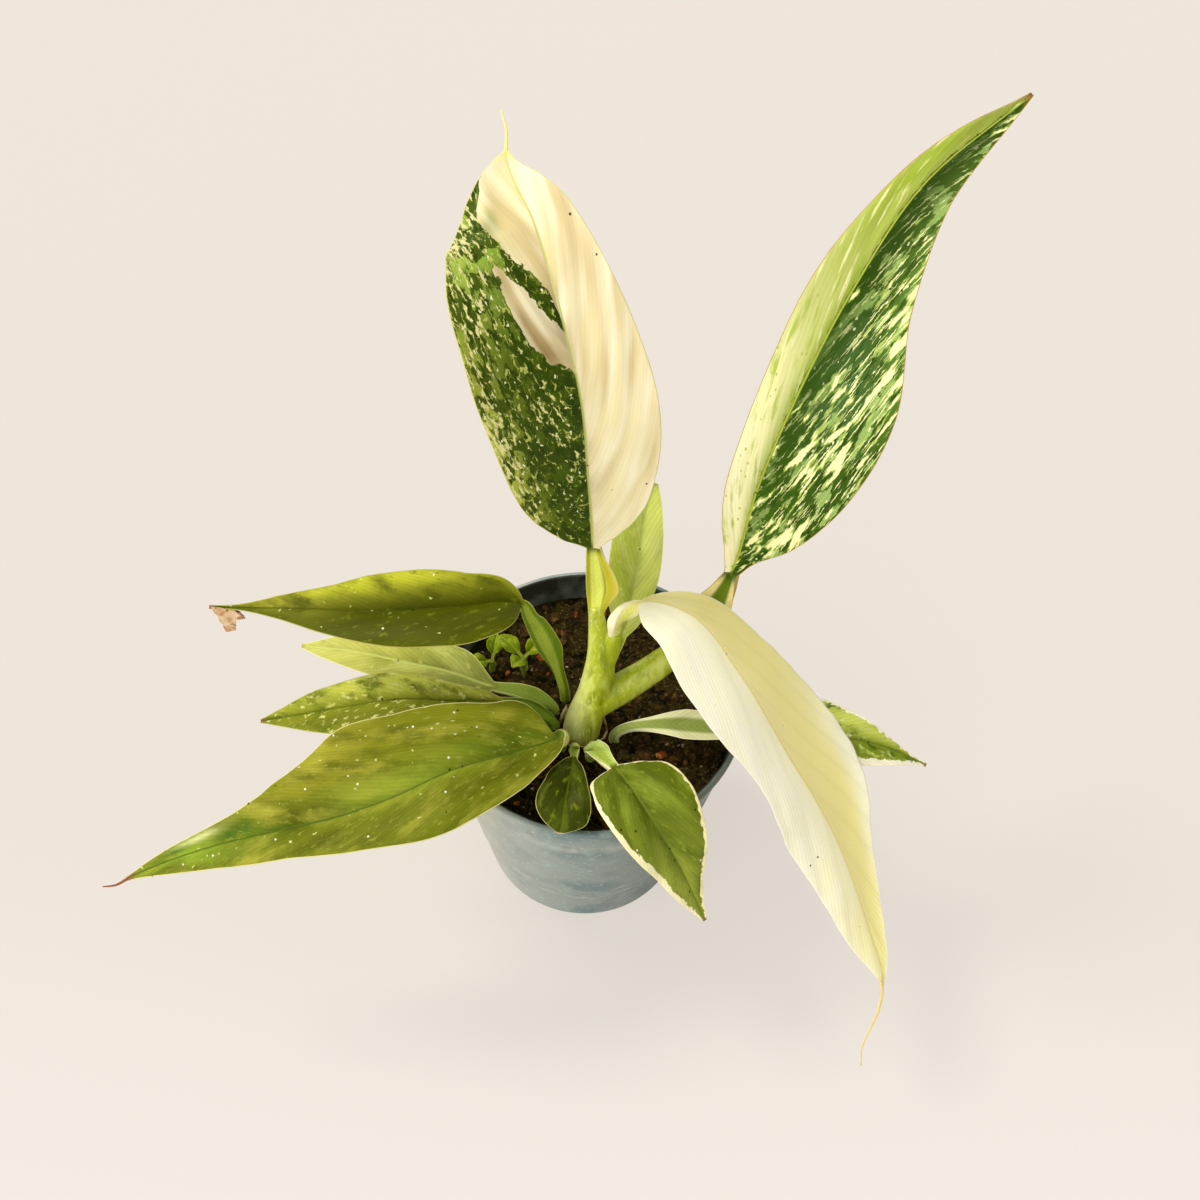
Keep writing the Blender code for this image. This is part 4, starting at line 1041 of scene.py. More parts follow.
def leaf_finish(name, look):
    """Living leaf tissue under its waxy skin.

    The wax gives the eye a soft yellowish sheen without hard highlights, the thin blade glows where light
    comes through it, and the green lies in torn patches, each drawn out along the side veins.
    """
    made, tree, shader = new_finish(name)
    stored = {
        key: add(tree, "ShaderNodeAttribute", attribute_name="leaf_" + key).outputs[output]
        for key, output in (
            ("green", "Color"), ("cream", "Color"), ("border", "Fac"), ("flecks", "Fac"), ("lively", "Fac"),
            ("grain", "Vector"), ("mm", "Vector"), ("share", "Vector"),
        )
    }
    place = add(tree, "ShaderNodeSeparateXYZ", {0: stored["mm"]}).outputs
    share = add(tree, "ShaderNodeSeparateXYZ", {0: stored["share"]}).outputs
    blade = add(
        tree, "ShaderNodeMapRange", {"Value": share["Y"], "From Min": -0.01, "From Max": 0.02}
    ).outputs[0]
    torn = torn_grain(tree, stored["grain"], look.shake)

    # The cream and the green tissue, each with what is laid over it
    cream = laid_over(tree, stored["cream"], look.cream_layers, stored["grain"], blade, CREAM_FIRST)
    lively = add(tree, "ShaderNodeMath", {0: blade, 1: stored["lively"]}, operation="MULTIPLY").outputs[0]
    tissue = laid_over(tree, stored["green"], look.layers, torn, lively, 0)
    if look.flecks:
        tissue = laid_over(tree, tissue, [look.flecks], torn, blade, len(look.layers), stored["flecks"])
    is_green = green_share(tree, stored["border"], torn, look.ragged)
    surface = add(
        tree, "ShaderNodeMix", {"Factor": is_green, "A": cream, "B": tissue}, data_type="RGBA"
    ).outputs["Result"]
    waves = vein_waves(tree, stored["grain"])
    surface = add(
        tree, "ShaderNodeVectorMath", {0: surface, 1: vein_shade(tree, look, waves)}, operation="MULTIPLY"
    ).outputs[0]

    # Midrib and specks on the blade alone, then the margin, the dry tip and the paler underside
    overlays = [(look.rib, rib_mask(tree, look, place["X"], share["Y"]))]
    for (code, shift), amount in zip(SPECKS, look.specks):
        overlays.append((code, speck_mask(tree, stored["mm"], shift, amount)))
    overlays = [
        (code, add(tree, "ShaderNodeMath", {0: mask, 1: blade}, operation="MULTIPLY").outputs[0])
        for code, mask in overlays
    ]
    overlays.insert(1, (look.edge, edge_mask(tree, look, place["Z"])))
    tip = add(tree, "ShaderNodeMapRange", {"Value": share["Y"], "From Min": 0.975, "From Max": 1.0})
    under = add(tree, "ShaderNodeMapRange", {"Value": share["Z"], "To Min": 0.4, "To Max": 0.0})
    overlays += [(look.tip, tip.outputs[0]), (look.under, under.outputs[0])]
    for code, mask in overlays:
        surface = add(
            tree, "ShaderNodeMix", {"Factor": mask, "A": surface, "B": colour(code)}, data_type="RGBA"
        ).outputs["Result"]
    tree.links.new(surface, shader.inputs["Base Color"])

    for socket, value in (
        ("Roughness", look.roughness), ("Specular IOR Level", 0.15), ("Specular Tint", colour("#f8f4a0")),
        ("Subsurface Weight", look.translucence[0]), ("Subsurface Radius", (1.0, 0.9, 0.4)),
        ("Subsurface Scale", look.translucence[1] * MM),
    ):
        shader.inputs[socket].default_value = value
    cells = add(tree, "ShaderNodeTexNoise", {"Vector": stored["mm"], "Scale": 2.0, "Detail": 3.0}).outputs[0]
    height = add(
        tree, "ShaderNodeMath", {0: waves["fine"], 1: 0.5, 2: waves["side"]}, operation="MULTIPLY_ADD"
    ).outputs[0]
    height = add(
        tree, "ShaderNodeMath", {0: cells, 1: 0.6, 2: height}, operation="MULTIPLY_ADD"
    ).outputs[0]
    bump = add(tree, "ShaderNodeBump", {"Strength": 0.5, "Distance": 0.06 * MM, "Height": height}).outputs[0]
    tree.links.new(bump, shader.inputs["Normal"])
    return made


# A patch on a plain finish: its size in millimetres, the share it covers, how much each axis is drawn out
Patch = namedtuple("Patch", "code size share drawn", defaults=((1, 1, 1),))
# Where a plain finish's patches end: the noise's level for a share of 0, the span of a whole share, and how
# softly they do
PLAIN_TOP = 0.7
PLAIN_SPAN = 0.4
PLAIN_SOFT = 0.08


def plain_finish(name, ground, roughness, patches, lumps, lump_height):
    """A material on object coordinates: a ground colour with soft patches, and a fine uneven surface.

    lumps: how many there are in a metre; lump_height: in millimetres.
    """
    made, tree, shader = new_finish(name)
    shader.inputs["Specular IOR Level"].default_value = 0.5 * (1 - roughness)
    shader.inputs["Roughness"].default_value = roughness
    where = add(tree, "ShaderNodeTexCoord").outputs["Object"]
    surface = ground
    for number, patch in enumerate(patches):
        scale = [1 / (drawn * patch.size * MM) for drawn in patch.drawn]
        moved = add(
            tree, "ShaderNodeMapping", {"Vector": where, "Location": (number, 0, 0), "Scale": scale}
        ).outputs[0]
        value = add(tree, "ShaderNodeTexNoise", {"Vector": moved, "Scale": 1.0, "Detail": 4.0}).outputs[0]
        level = PLAIN_TOP - PLAIN_SPAN * patch.share
        mask = add(
            tree, "ShaderNodeMapRange",
            {"Value": value, "From Min": level - PLAIN_SOFT, "From Max": level + PLAIN_SOFT},
        ).outputs[0]
        surface = add(
            tree, "ShaderNodeMix", {"Factor": mask, "A": surface, "B": colour(patch.code)}, data_type="RGBA"
        ).outputs["Result"]
    tree.links.new(surface, shader.inputs["Base Color"])
    height = add(tree, "ShaderNodeTexNoise", {"Vector": where, "Scale": lumps, "Detail": 3.0}).outputs[0]
    bump = add(
        tree, "ShaderNodeBump", {"Strength": 0.6, "Distance": lump_height * MM, "Height": height}
    ).outputs[0]
    tree.links.new(bump, shader.inputs["Normal"])
    return made


def painted_side_light(finish, sides):
    """Lays painted light and shade over a finish: colours that grow along X, lighter on one side and darker
    on the other.

    sides: each one's colour, where it starts and is full, in metres, and its share there.
    """
    tree = finish.node_tree
    base = tree.nodes["Principled BSDF"].inputs["Base Color"]
    where = add(tree, "ShaderNodeTexCoord").outputs["Object"]
    across = add(tree, "ShaderNodeSeparateXYZ", {0: where}).outputs["X"]
    for code, start, end, share in sides:
        mask = add(
            tree, "ShaderNodeMapRange",
            {"Value": across, "From Min": start, "From Max": end, "To Max": share},
            interpolation_type="SMOOTHSTEP",
        ).outputs[0]
        ground = base.links[0].from_socket
        surface = add(
            tree, "ShaderNodeMix", {"Factor": mask, "A": ground, "B": colour(code)}, data_type="RGBA"
        ).outputs["Result"]
        tree.links.new(surface, base)


def shown(name, mesh, finish, nodes=()):
    """Puts a mesh in the scene as a piece of the object, in place of the solids named."""
    made = bpy.data.objects.new(name, mesh)
    bpy.context.scene.collection.objects.link(made)
    mesh.materials.clear()
    mesh.materials.append(finish)
    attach(made, BODY)
    for node in nodes:
        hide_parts(node)
    return made


def evaluated(obj, name):
    """The object's mesh with its modifiers applied; the object is removed."""
    bpy.context.view_layer.update()
    mesh = bpy.data.meshes.new_from_object(obj.evaluated_get(bpy.context.evaluated_depsgraph_get()))
    bpy.data.objects.remove(obj)
    mesh.name = name
    return mesh


def merged(meshes, name):
    """One mesh from several, with their stored values kept."""
    body = bmesh.new()
    for mesh in meshes:
        body.from_mesh(mesh)
        bpy.data.meshes.remove(mesh)
    made = bpy.data.meshes.new(name)
    body.to_mesh(made)
    body.free()
    return made


# A round stem's points along it, and the divisions of a quarter of its section beyond the first
STEM_POINTS = 40
STEM_RESOLUTION = 12


def tube(points, radii):
    """A round stem with closed ends through smooth points between the given ones."""
    knots = lengths_along(points)
    at = np.linspace(0, knots[-1], STEM_POINTS)
    curve = bpy.data.curves.new("stem", "CURVE")
    curve.dimensions = "3D"
    curve.bevel_depth = MM
    curve.bevel_resolution = STEM_RESOLUTION
    curve.use_fill_caps = True
    spline = curve.splines.new("POLY")
    spline.points.add(len(at) - 1)
    for point, place, radius in zip(spline.points, through(knots, points, at), through(knots, radii, at)):
        point.co = (*(place * MM), 1.0)
        point.radius = radius
    made = bpy.data.objects.new("stem", curve)
    bpy.context.scene.collection.objects.link(made)
    return evaluated(made, "stem")


def grown_together(meshes, voxel, rounds):
    """One smooth skin round several overlapping bodies."""
    pile = bpy.data.objects.new("pile", merged(meshes, "pile"))
    bpy.context.scene.collection.objects.link(pile)
    remesh = pile.modifiers.new("Skin", "REMESH")
    remesh.mode = "VOXEL"
    remesh.voxel_size = voxel * MM
    soften = pile.modifiers.new("Soften", "SMOOTH")
    soften.iterations = rounds
    mesh = evaluated(pile, "skin")
    mesh.shade_smooth()
    return mesh


# Crown: each stem's points and radii. It follows its solid, and its left stub runs on as a sheath round the
# petioles that stand on it
CROWN_FOOT = (-2, -8)
CROWN_STEMS = (
    (((-2, -8, 70.4), (-2, -8, 88), (1, -5, 101)), (6.2, 6.3, 5.6)),
    (
        ((0, -6, 97), (2.3, -2.6, 107), (3.0, 0.4, 116), (2.2, 2.4, 124), (1.2, 4.6, 131), (0.7, 6, 136)),
        (5.4, 5.3, 4.6, 3.6, 2.7, 2.0),
    ),
    (((3.0, 0.4, 112), (5.4, 0.8, 118), (6.7, 1.2, 124), (7.6, 1.3, 129)), (4.2, 3.5, 2.8, 2.0)),
    (
        ((0, -6, 97), (9, -2.6, 102), (17, 0.5, 107), (22, 2.3, 111), (27, 4.3, 116), (31, 6, 121)),
        (5.4, 5.3, 4.8, 4.6, 4.0, 3.0),
    ),
)
CROWN_VOXEL = 0.5
CROWN_SMOOTHING = 6

# The dry membrane round the crown's foot: the height it starts from, its height over that at places round
# it, in turns, its radius, how far it flares at its top, and its thickness
MEMBRANE_FOOT = 84
MEMBRANE_HEIGHTS = (2.5, 4.5, 3.0, 6.0, 4.0, 1.5, 2.0, 5.0, 3.5, 2.5)
MEMBRANE_RADIUS = 7.5
MEMBRANE_FLARE = 0.9
MEMBRANE_THICKNESS = 0.25


def membrane():
    """A torn papery ring, whose ragged top comes from two fine waves on its heights."""
    turns = np.linspace(0, 2 * np.pi, 120, endpoint=False)
    heights = [*MEMBRANE_HEIGHTS, MEMBRANE_HEIGHTS[0]]
    tops = np.interp(turns / (2 * np.pi) * len(MEMBRANE_HEIGHTS), range(len(heights)), heights)
    tops = tops + 0.4 * np.sin(17 * turns) + 0.3 * np.sin(31 * turns)
    rows = []
    for lift in np.linspace(0, 1, 8):
        radius = MEMBRANE_RADIUS + 0.3 * np.sin(5 * turns + 3 * lift) + MEMBRANE_FLARE * lift**2
        x = CROWN_FOOT[0] + radius * np.cos(turns)
        y = CROWN_FOOT[1] + radius * np.sin(turns)
        rows.append(np.stack([x, y, MEMBRANE_FOOT + (tops + 0.5) * lift], -1))
    outer = np.array(rows)
    outer = np.concatenate([outer, outer[:, :1]], 1)
    inner = outer - MEMBRANE_THICKNESS * unit((outer - (*CROWN_FOOT, 0)) * (1, 1, 0))
    return grid_mesh("crown_membrane", outer, inner)


class PHILODENDRON_OT_crown(bpy.types.Operator):
    """Builds the forked crown and the dry membrane round its foot"""

    bl_idname = "philodendron.crown"
    bl_label = "Crown"

    def execute(self, context):
        plant = context.scene.philodendron_plant

        # A young stem's smooth, waxy skin: yellow-green with fine lengthwise streaks, with painted light on
        # the side that faces the window and painted shade on the other, and a little see-through, so that its
        # edges glow
        skin = plain_finish(
            "waxy_stem_skin", plant.stem, 0.3,
            [
                Patch("#dfe874", 5, 0.35, (1, 1, 6)), Patch("#8a9a0c", 3.5, 0.35, (1, 1, 8)),
                Patch("#d8e06c", 0.7, 0.2, (1, 1, 16)),
            ],
            300.0, 0.05,
        )
        # Painted light and shade: paler on the left, which faces the window, and darker olive on the right,
        # where the right branch is in shade
        painted_side_light(skin, (("#eef3a4", 0.002, -0.006, 0.75), ("#95a518", 0.0, 0.008, 0.5)))
        shader = skin.node_tree.nodes["Principled BSDF"]
        shader.inputs["Subsurface Weight"].default_value = 0.15
        shader.inputs["Subsurface Scale"].default_value = 2 * MM
        stems = [tube(points, radii) for points, radii in CROWN_STEMS]
        crown = grown_together(stems, CROWN_VOXEL, CROWN_SMOOTHING)
        shown("crown_stem", crown, skin, ["crown"])

        # A withered leaf base: dull brown paper, streaked pale and dark from its foot to its torn top
        papery = plain_finish(
            "withered_leaf_base", plant.membrane, 0.7,
            [Patch("#d8c79a", 4, 0.5, (1, 1, 2)), Patch("#5f3f22", 2, 0.3, (1, 1, 3))], 300.0, 0.1,
        )
        shown("crown_membrane", membrane(), papery)
        return {"FINISHED"}


class PHILODENDRON_OT_leaves(bpy.types.Operator):
    """Builds the eleven leaves, each with its petiole, in place of their solids"""

    bl_idname = "philodendron.leaves"
    bl_label = "Leaves"

    def execute(self, context):
        plant = context.scene.philodendron_plant
        finishes = {leaf.look: leaf_finish(leaf.look + "_leaf", LOOKS[leaf.look]) for leaf in LEAVES}
        for number, leaf in enumerate(LEAVES, 1):
            (upper, lower), place = leaf_surface(leaf, plant, plant.rings, float(number))
            mesh = grid_mesh(leaf.name + "_blade", upper, lower)
            paint_leaf(mesh, LOOKS[leaf.look], place)
            shown(mesh.name, mesh, finishes[leaf.look], [leaf.name])
        return {"FINISHED"}


# The dry scrap at the tip of the upper left leaf, as its solid has it: its place, outline, half thickness,
# and how far it leans and turns, in degrees
SCRAP_AT = (-117.5, 8.0, 121.2)
SCRAP_OUTLINE = ((-5.5, 0.6), (4.5, 0.6), (5.5, -2.5), (2.2, -3.6), (1.6, -8.5), (-1.5, -9.5), (-3.4, -4.5))
SCRAP_HALF_THICKNESS = 0.35
SCRAP_LEAN = 80
SCRAP_TURN = -6
SCRAP_VOXEL = 0.3
# How far the scrap is crumpled and its outline is torn, each with its paces along it and its noise's depth
SCRAP_CRUMPLE = (0.7, 0.35, 4.0)
SCRAP_TEAR = (0.5, 0.9, 9.0)


class PHILODENDRON_OT_scrap(bpy.types.Operator):
    """Builds the torn, dried scrap that hangs from the upper left leaf"""

    bl_idname = "philodendron.scrap"
    bl_label = "Dry scrap"

    def execute(self, context):
        curve = bpy.data.curves.new("scrap", "CURVE")
        curve.dimensions = "2D"
        curve.fill_mode = "BOTH"
        curve.extrude = SCRAP_HALF_THICKNESS * MM
        spline = curve.splines.new("POLY")
        spline.points.add(len(SCRAP_OUTLINE) - 1)
        for point, (x, y) in zip(spline.points, SCRAP_OUTLINE):
            point.co = (x * MM, y * MM, 0, 1)
        spline.use_cyclic_u = True
        flat = bpy.data.objects.new("scrap", curve)
        context.scene.collection.objects.link(flat)
        mesh = grown_together([evaluated(flat, "scrap")], SCRAP_VOXEL, 1)
        for vertex in mesh.vertices:
            x, y, _ = vertex.co / MM
            for axis, (reach, pace, depth) in ((2, SCRAP_CRUMPLE), (0, SCRAP_TEAR)):
                vertex.co[axis] += reach * noise.noise(Vector((x * pace, y * pace, depth))) * MM
        mesh.transform(Matrix.Rotation(math.radians(SCRAP_LEAN), 4, "X"))
        mesh.transform(Matrix.Rotation(math.radians(SCRAP_TURN), 4, "Z"))
        mesh.transform(Matrix.Translation(Vector(SCRAP_AT) * MM))

        # Dried leaf tissue: dull tan parchment, browned in small spots
        dried = plain_finish(
            "dried_leaf_tissue", context.scene.philodendron_plant.dead, 0.6,
            [Patch("#c79a6c", 3, 0.4), Patch("#5a3018", 1.6, 0.22)], 300.0, 0.1,
        )
        shown("leaf_left_upper_scrap", mesh, dried)
        return {"FINISHED"}


# Weed seedlings: where each stands, the height of its fork, and where each leaflet ends
SEEDLINGS = (
    ("seedling_left", (-23, 13), 96, ((-31, 18, 100), (-26, 7, 99), (-17, 17, 101))),
    ("seedling_far_left", (-34, 14), 92, ((-41, 10, 94), (-33, 22, 95))),
)
# A leaflet's midrib: shares of its reach, and how far it rises over a straight line there
LEAFLET_RISE = ((0.22, 0.4), (0.5, 0.9), (0.8, 0.7), (1.05, 0.0))
LEAFLET_WIDTHS = (0.9, 1.8, 2.6, 3.0, 2.8, 2.1, 1.2)
LEAFLET_RINGS = 30
FORK_DROP = 1.0
# The leaflets' patterns are numbered from here, past the leaves'
LEAFLET_SEED = 20


def seedling_leaflet(foot, fork, tip):
    """One leaflet with its own strand of the seedling's stem."""
    start = np.array((*foot, fork - FORK_DROP))
    reach = np.array(tip) - start
    return Leaf(
        "leaflet", "seedling", (0.6, 0.5), (0.0, 0.0),
        petiole=[(*foot, ROOT_BOTTOM), (*foot, (ROOT_BOTTOM + fork) / 2), tuple(start)],
        blade=[tuple(start + share * reach + (0, 0, rise)) for share, rise in LEAFLET_RISE],
        tail=[],
        faces=((0.2, 0, 1), (0.1, -0.2, 1), (0.1, -0.2, 1)), fold=(14, 14), arch=(0.1, 0.1),
        left=LEAFLET_WIDTHS, right=LEAFLET_WIDTHS,
        pleat=0.08, veins=(1.4, 1.4),
    )


class PHILODENDRON_OT_seedlings(bpy.types.Operator):
    """Builds the two weed seedlings with their folded leaflets"""

    bl_idname = "philodendron.seedlings"
    bl_label = "Seedlings"

    def execute(self, context):
        plant = context.scene.philodendron_plant
        finish = leaf_finish("weed_leaflet", LOOKS["seedling"])
        for name, foot, fork, tips in SEEDLINGS:
            meshes = []
            for seed, tip in enumerate(tips, LEAFLET_SEED):
                leaflet = seedling_leaflet(foot, fork, tip)
                (upper, lower), place = leaf_surface(leaflet, plant, LEAFLET_RINGS, float(seed))
                meshes.append(grid_mesh("leaflet", upper, lower))
                paint_leaf(meshes[-1], LOOKS["seedling"], place)
            mesh = merged(meshes, name + "_leaflets")
            mesh.shade_smooth()
            shown(mesh.name, mesh, finish, [name])
        return {"FINISHED"}


# The pot's section: the rounds of its lip, its inner corner and its foot, how far the lip's lower edge is
# cut, where the ledge in its wall lies, as shares of the pot's height, and how far it stands out
LIP_ROUND = 0.6 * MM
LIP_CUT = 0.3 * MM
CORNER_ROUND = 0.8 * MM
FOOT_ROUND = 1.0 * MM
LEDGE_TOP = 0.31
LEDGE_FOOT = 0.30
LEDGE_OUT = 0.25 * MM
SHARP_DEGREES = 40
DRAIN_PIN_DEPTH = 8 * MM


def wall_radius(pot, height, inset=0.0):
    """The pot's outer radius at a height over its base, less an inset, in metres."""
    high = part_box("pot")[1]
    rise = (high.x - pot.lip_out - pot.base_radius) / high.z
    return pot.base_radius + rise * height - inset


def pot_section(pot):
    """The wall's section as radii and heights, from the floor's middle inside, over the lip, to its foot."""
    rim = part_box("pot")[1].x
    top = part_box("pot")[1].z
    inner_foot = wall_radius(pot, pot.wall, pot.wall)
    inner_top = wall_radius(pot, top, pot.wall)
    section = [(0, pot.wall), (inner_foot - CORNER_ROUND, pot.wall), (inner_foot, pot.wall + CORNER_ROUND)]
    section.append((inner_top, top - LIP_ROUND))
    middle = (inner_top + rim) / 2
    for turn in np.linspace(math.pi, 0, 13):
        height = top - LIP_ROUND + LIP_ROUND * math.sin(turn)
        section.append((middle + (rim - middle) * math.cos(turn), height))
    lip_foot = top - pot.lip_depth
    under_lip = lip_foot - pot.lip_out
    section += [(rim, lip_foot + LIP_CUT), (rim - LIP_CUT, lip_foot)]
    section.append((wall_radius(pot, under_lip), under_lip))
    for height, out in ((LEDGE_TOP * top, LEDGE_OUT), (LEDGE_FOOT * top, 0.0)):
        section.append((wall_radius(pot, height) + out, height))
    for turn in np.linspace(0, math.pi / 2, 6):
        radius = pot.base_radius - FOOT_ROUND + FOOT_ROUND * math.cos(turn)
        section.append((radius, FOOT_ROUND - FOOT_ROUND * math.sin(turn)))
    return [*section, (0, 0)]


def drain_pins(pot):
    """A collection of round pins that stand where the drain holes go."""
    pins = bpy.data.collections.new("drain_pins")
    for number in range(pot.drain_holes):
        turn = 2 * math.pi * number / pot.drain_holes
        body = bmesh.new()
        bmesh.ops.create_cone(
            body, cap_ends=True, segments=32, radius1=pot.drain_radius, radius2=pot.drain_radius,
            depth=DRAIN_PIN_DEPTH,
        )
        place = (pot.drain_ring * math.cos(turn), pot.drain_ring * math.sin(turn), 0)
        bmesh.ops.translate(body, verts=body.verts, vec=place)
        pin = bpy.data.meshes.new("drain_pin")
        body.to_mesh(pin)
        body.free()
        pins.objects.link(bpy.data.objects.new("drain_pin", pin))
    return pins


class PHILODENDRON_OT_pot(bpy.types.Operator):
    """Turns the thin-walled nursery pot with its lip and cuts its drain holes"""

    bl_idname = "philodendron.pot"
    bl_label = "Pot"

    def execute(self, context):
        pot = context.scene.philodendron_pot
        section = pot_section(pot)
        mesh = bpy.data.meshes.new("pot_wall")
        mesh.from_pydata([(r, 0, z) for r, z in section], [(i, i + 1) for i in range(len(section) - 1)], [])
        turned = bpy.data.objects.new("pot_wall", mesh)
        context.scene.collection.objects.link(turned)
        screw = turned.modifiers.new("Turn", "SCREW")
        screw.steps = pot.sides
        screw.render_steps = pot.sides
        screw.use_merge_vertices = True
        screw.merge_threshold = 0.01 * MM
        pins = drain_pins(pot)
        cut = turned.modifiers.new("Drain holes", "BOOLEAN")
        cut.operand_type = "COLLECTION"
        cut.collection = pins
        mesh = evaluated(turned, "pot_wall")
        for pin in list(pins.objects):
            bpy.data.objects.remove(pin)
        bpy.data.collections.remove(pins)
        mesh.shade_smooth()
        mesh.set_sharp_from_angle(angle=math.radians(SHARP_DEGREES))

        # The inside is what lies within the middle of the wall
        points = np.array([vertex.co for vertex in mesh.vertices])
        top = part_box("pot")[1].z
        foot_radius = wall_radius(pot, 0, pot.wall / 2)
        rise = (wall_radius(pot, top, pot.wall / 2) - foot_radius) / top
        inside = np.hypot(points[:, 0], points[:, 1]) < foot_radius + rise * points[:, 2]
        put(mesh, "pot_inside", "FLOAT", inside)
        shown("pot_wall", mesh, pot_finish(pot), ["pot"])
        return {"FINISHED"}


# Lime rings: the height of each over the pot's base and how far it reaches to either side. A broad noise
# lets them wander, and a fine one breaks them
LIME_RINGS = ((0.031, 0.0016), (0.023, 0.001), (0.079, 0.004))
LIME_WANDER = 0.012
LIME_COVER = 0.65


def lime_mask(tree, where):
    """1 on the broken rings that drying water left at several heights."""
    height = add(tree, "ShaderNodeSeparateXYZ", {0: where}).outputs["Z"]
    wander = add(tree, "ShaderNodeTexNoise", {"Vector": where, "Scale": 55.0, "Detail": 5.0}).outputs[0]
    drift = add(
        tree, "ShaderNodeMath", {0: wander, 1: LIME_WANDER, 2: height}, operation="MULTIPLY_ADD"
    ).outputs[0]
    rings = 0.0
    for level, reach in LIME_RINGS:
        above = level + LIME_WANDER / 2
        away = add(tree, "ShaderNodeMath", {0: drift, 1: above}, operation="SUBTRACT").outputs[0]
        away = add(tree, "ShaderNodeMath", {0: away}, operation="ABSOLUTE").outputs[0]
        ring = add(tree, "ShaderNodeMapRange", {"Value": away, "From Min": reach, "From Max": 0.0}).outputs[0]
        rings = add(tree, "ShaderNodeMath", {0: rings, 1: ring}, operation="MAXIMUM").outputs[0]
    broken = add(
        tree, "ShaderNodeTexNoise", {"Vector": where, "Scale": 130.0, "Detail": 6.0, "Roughness": 0.7}
    ).outputs[0]
    broken = add(tree, "ShaderNodeMapRange", {"Value": broken, "From Min": 0.42, "From Max": 0.62}).outputs[0]
    for share in (broken, LIME_COVER):
        rings = add(tree, "ShaderNodeMath", {0: rings, 1: share}, operation="MULTIPLY").outputs[0]
    return rings


def dust_and_shade_mask(tree, where):
    """How much soil dust and painted shade darken the inside of the wall."""
    inside = add(tree, "ShaderNodeAttribute", attribute_name="pot_inside").outputs["Fac"]
    dust = add(
        tree, "ShaderNodeTexNoise", {"Vector": where, "Scale": 90.0, "Detail": 5.0, "Roughness": 0.65}
    ).outputs[0]
    dust = add(
        tree, "ShaderNodeMapRange",
        {"Value": dust, "From Min": 0.25, "From Max": 0.55, "To Min": 0.55, "To Max": 0.95},
    ).outputs[0]
    return add(tree, "ShaderNodeMath", {0: dust, 1: inside}, operation="MULTIPLY").outputs[0]


def pot_finish(pot):
    """Thin moulded polypropylene that has aged.

    It gives the eye a dull grey-blue with cloudy patches, with painted light on the window's side and painted
    shade on the other, thin chalky rings that hard water left, and wet soil's dust with painted shade on its
    inside.
    """
    made = plain_finish(
        "moulded_polypropylene", pot.plastic, 0.5,
        [Patch("#6c8280", 22, 0.4), Patch("#8fa29e", 8, 0.25), Patch("#b4beb4", 1.6, 0.08)], 500.0, 0.03,
    )
    # Painted light on the left, the window's side, and painted shade on the right, where leaves shade the pot
    painted_side_light(made, (("#cbccbe", 0.0, -0.05, 0.85), ("#48524e", -0.01, 0.045, 0.75)))
    tree = made.node_tree
    base = tree.nodes["Principled BSDF"].inputs["Base Color"]
    where = add(tree, "ShaderNodeTexCoord").outputs["Object"]
    surface = base.links[0].from_socket
    # Lime rings, then soil dust with painted shade, nearly black, over the inside of the wall
    for mask, laid in ((lime_mask(tree, where), pot.lime), (dust_and_shade_mask(tree, where), colour("#1c1a12"))):
        surface = add(
            tree, "ShaderNodeMix", {"Factor": mask, "A": surface, "B": laid}, data_type="RGBA"
        ).outputs["Result"]
    tree.links.new(surface, base)
    return made


# The soil's broad swells, its lumps and its fine unevenness: how far each rises in millimetres, its pace
# along the surface and its depth in the noise; the last is a fractal with this roughness, step and octaves
SWELLS = (1.6, 0.05, 2.0)
LUMPS = (1.1, 0.16, 5.0)
UNEVENNESS = (0.7, 0.5, 8.0)
UNEVEN_FRACTAL = (0.8, 2.0, 3)


def soil_height(x, y):
    """How far the soil's surface lies above its mean level, in millimetres."""
    total = 0.0
    for rise, pace, depth in (SWELLS, LUMPS):
        total += rise * noise.noise(Vector((x * pace, y * pace, depth)))
    rise, pace, depth = UNEVENNESS
    return total + rise * noise.fractal(Vector((x * pace, y * pace, depth)), *UNEVEN_FRACTAL)


# What the tree that strews litter is given besides the surface: each input's name, kind and first value
LITTER_INPUTS = (
    ("Geometry", "NodeSocketGeometry", None), ("Density", "NodeSocketFloat", 1e5),
    ("Smallest", "NodeSocketFloat", 0.001), ("Largest", "NodeSocketFloat", 0.002),
    ("Thickness", "NodeSocketFloat", 1.0), ("Roughness", "NodeSocketFloat", 0.001),
    ("Seed", "NodeSocketInt", 0), ("Material", "NodeSocketMaterial", None),
)
# The narrowest and the widest crumb against its size, along each of its axes, and how far it may tip and turn
CRUMB_PROPORTIONS = ((0.7, 0.45, 0.8), (1.5, 0.9, 1.2))
CRUMB_TURNS = ((-0.5, -0.5, 0.0), (0.5, 0.5, 6.28))
# Bumps on the crumbs in a metre
CRUMB_BUMPS = 600.0


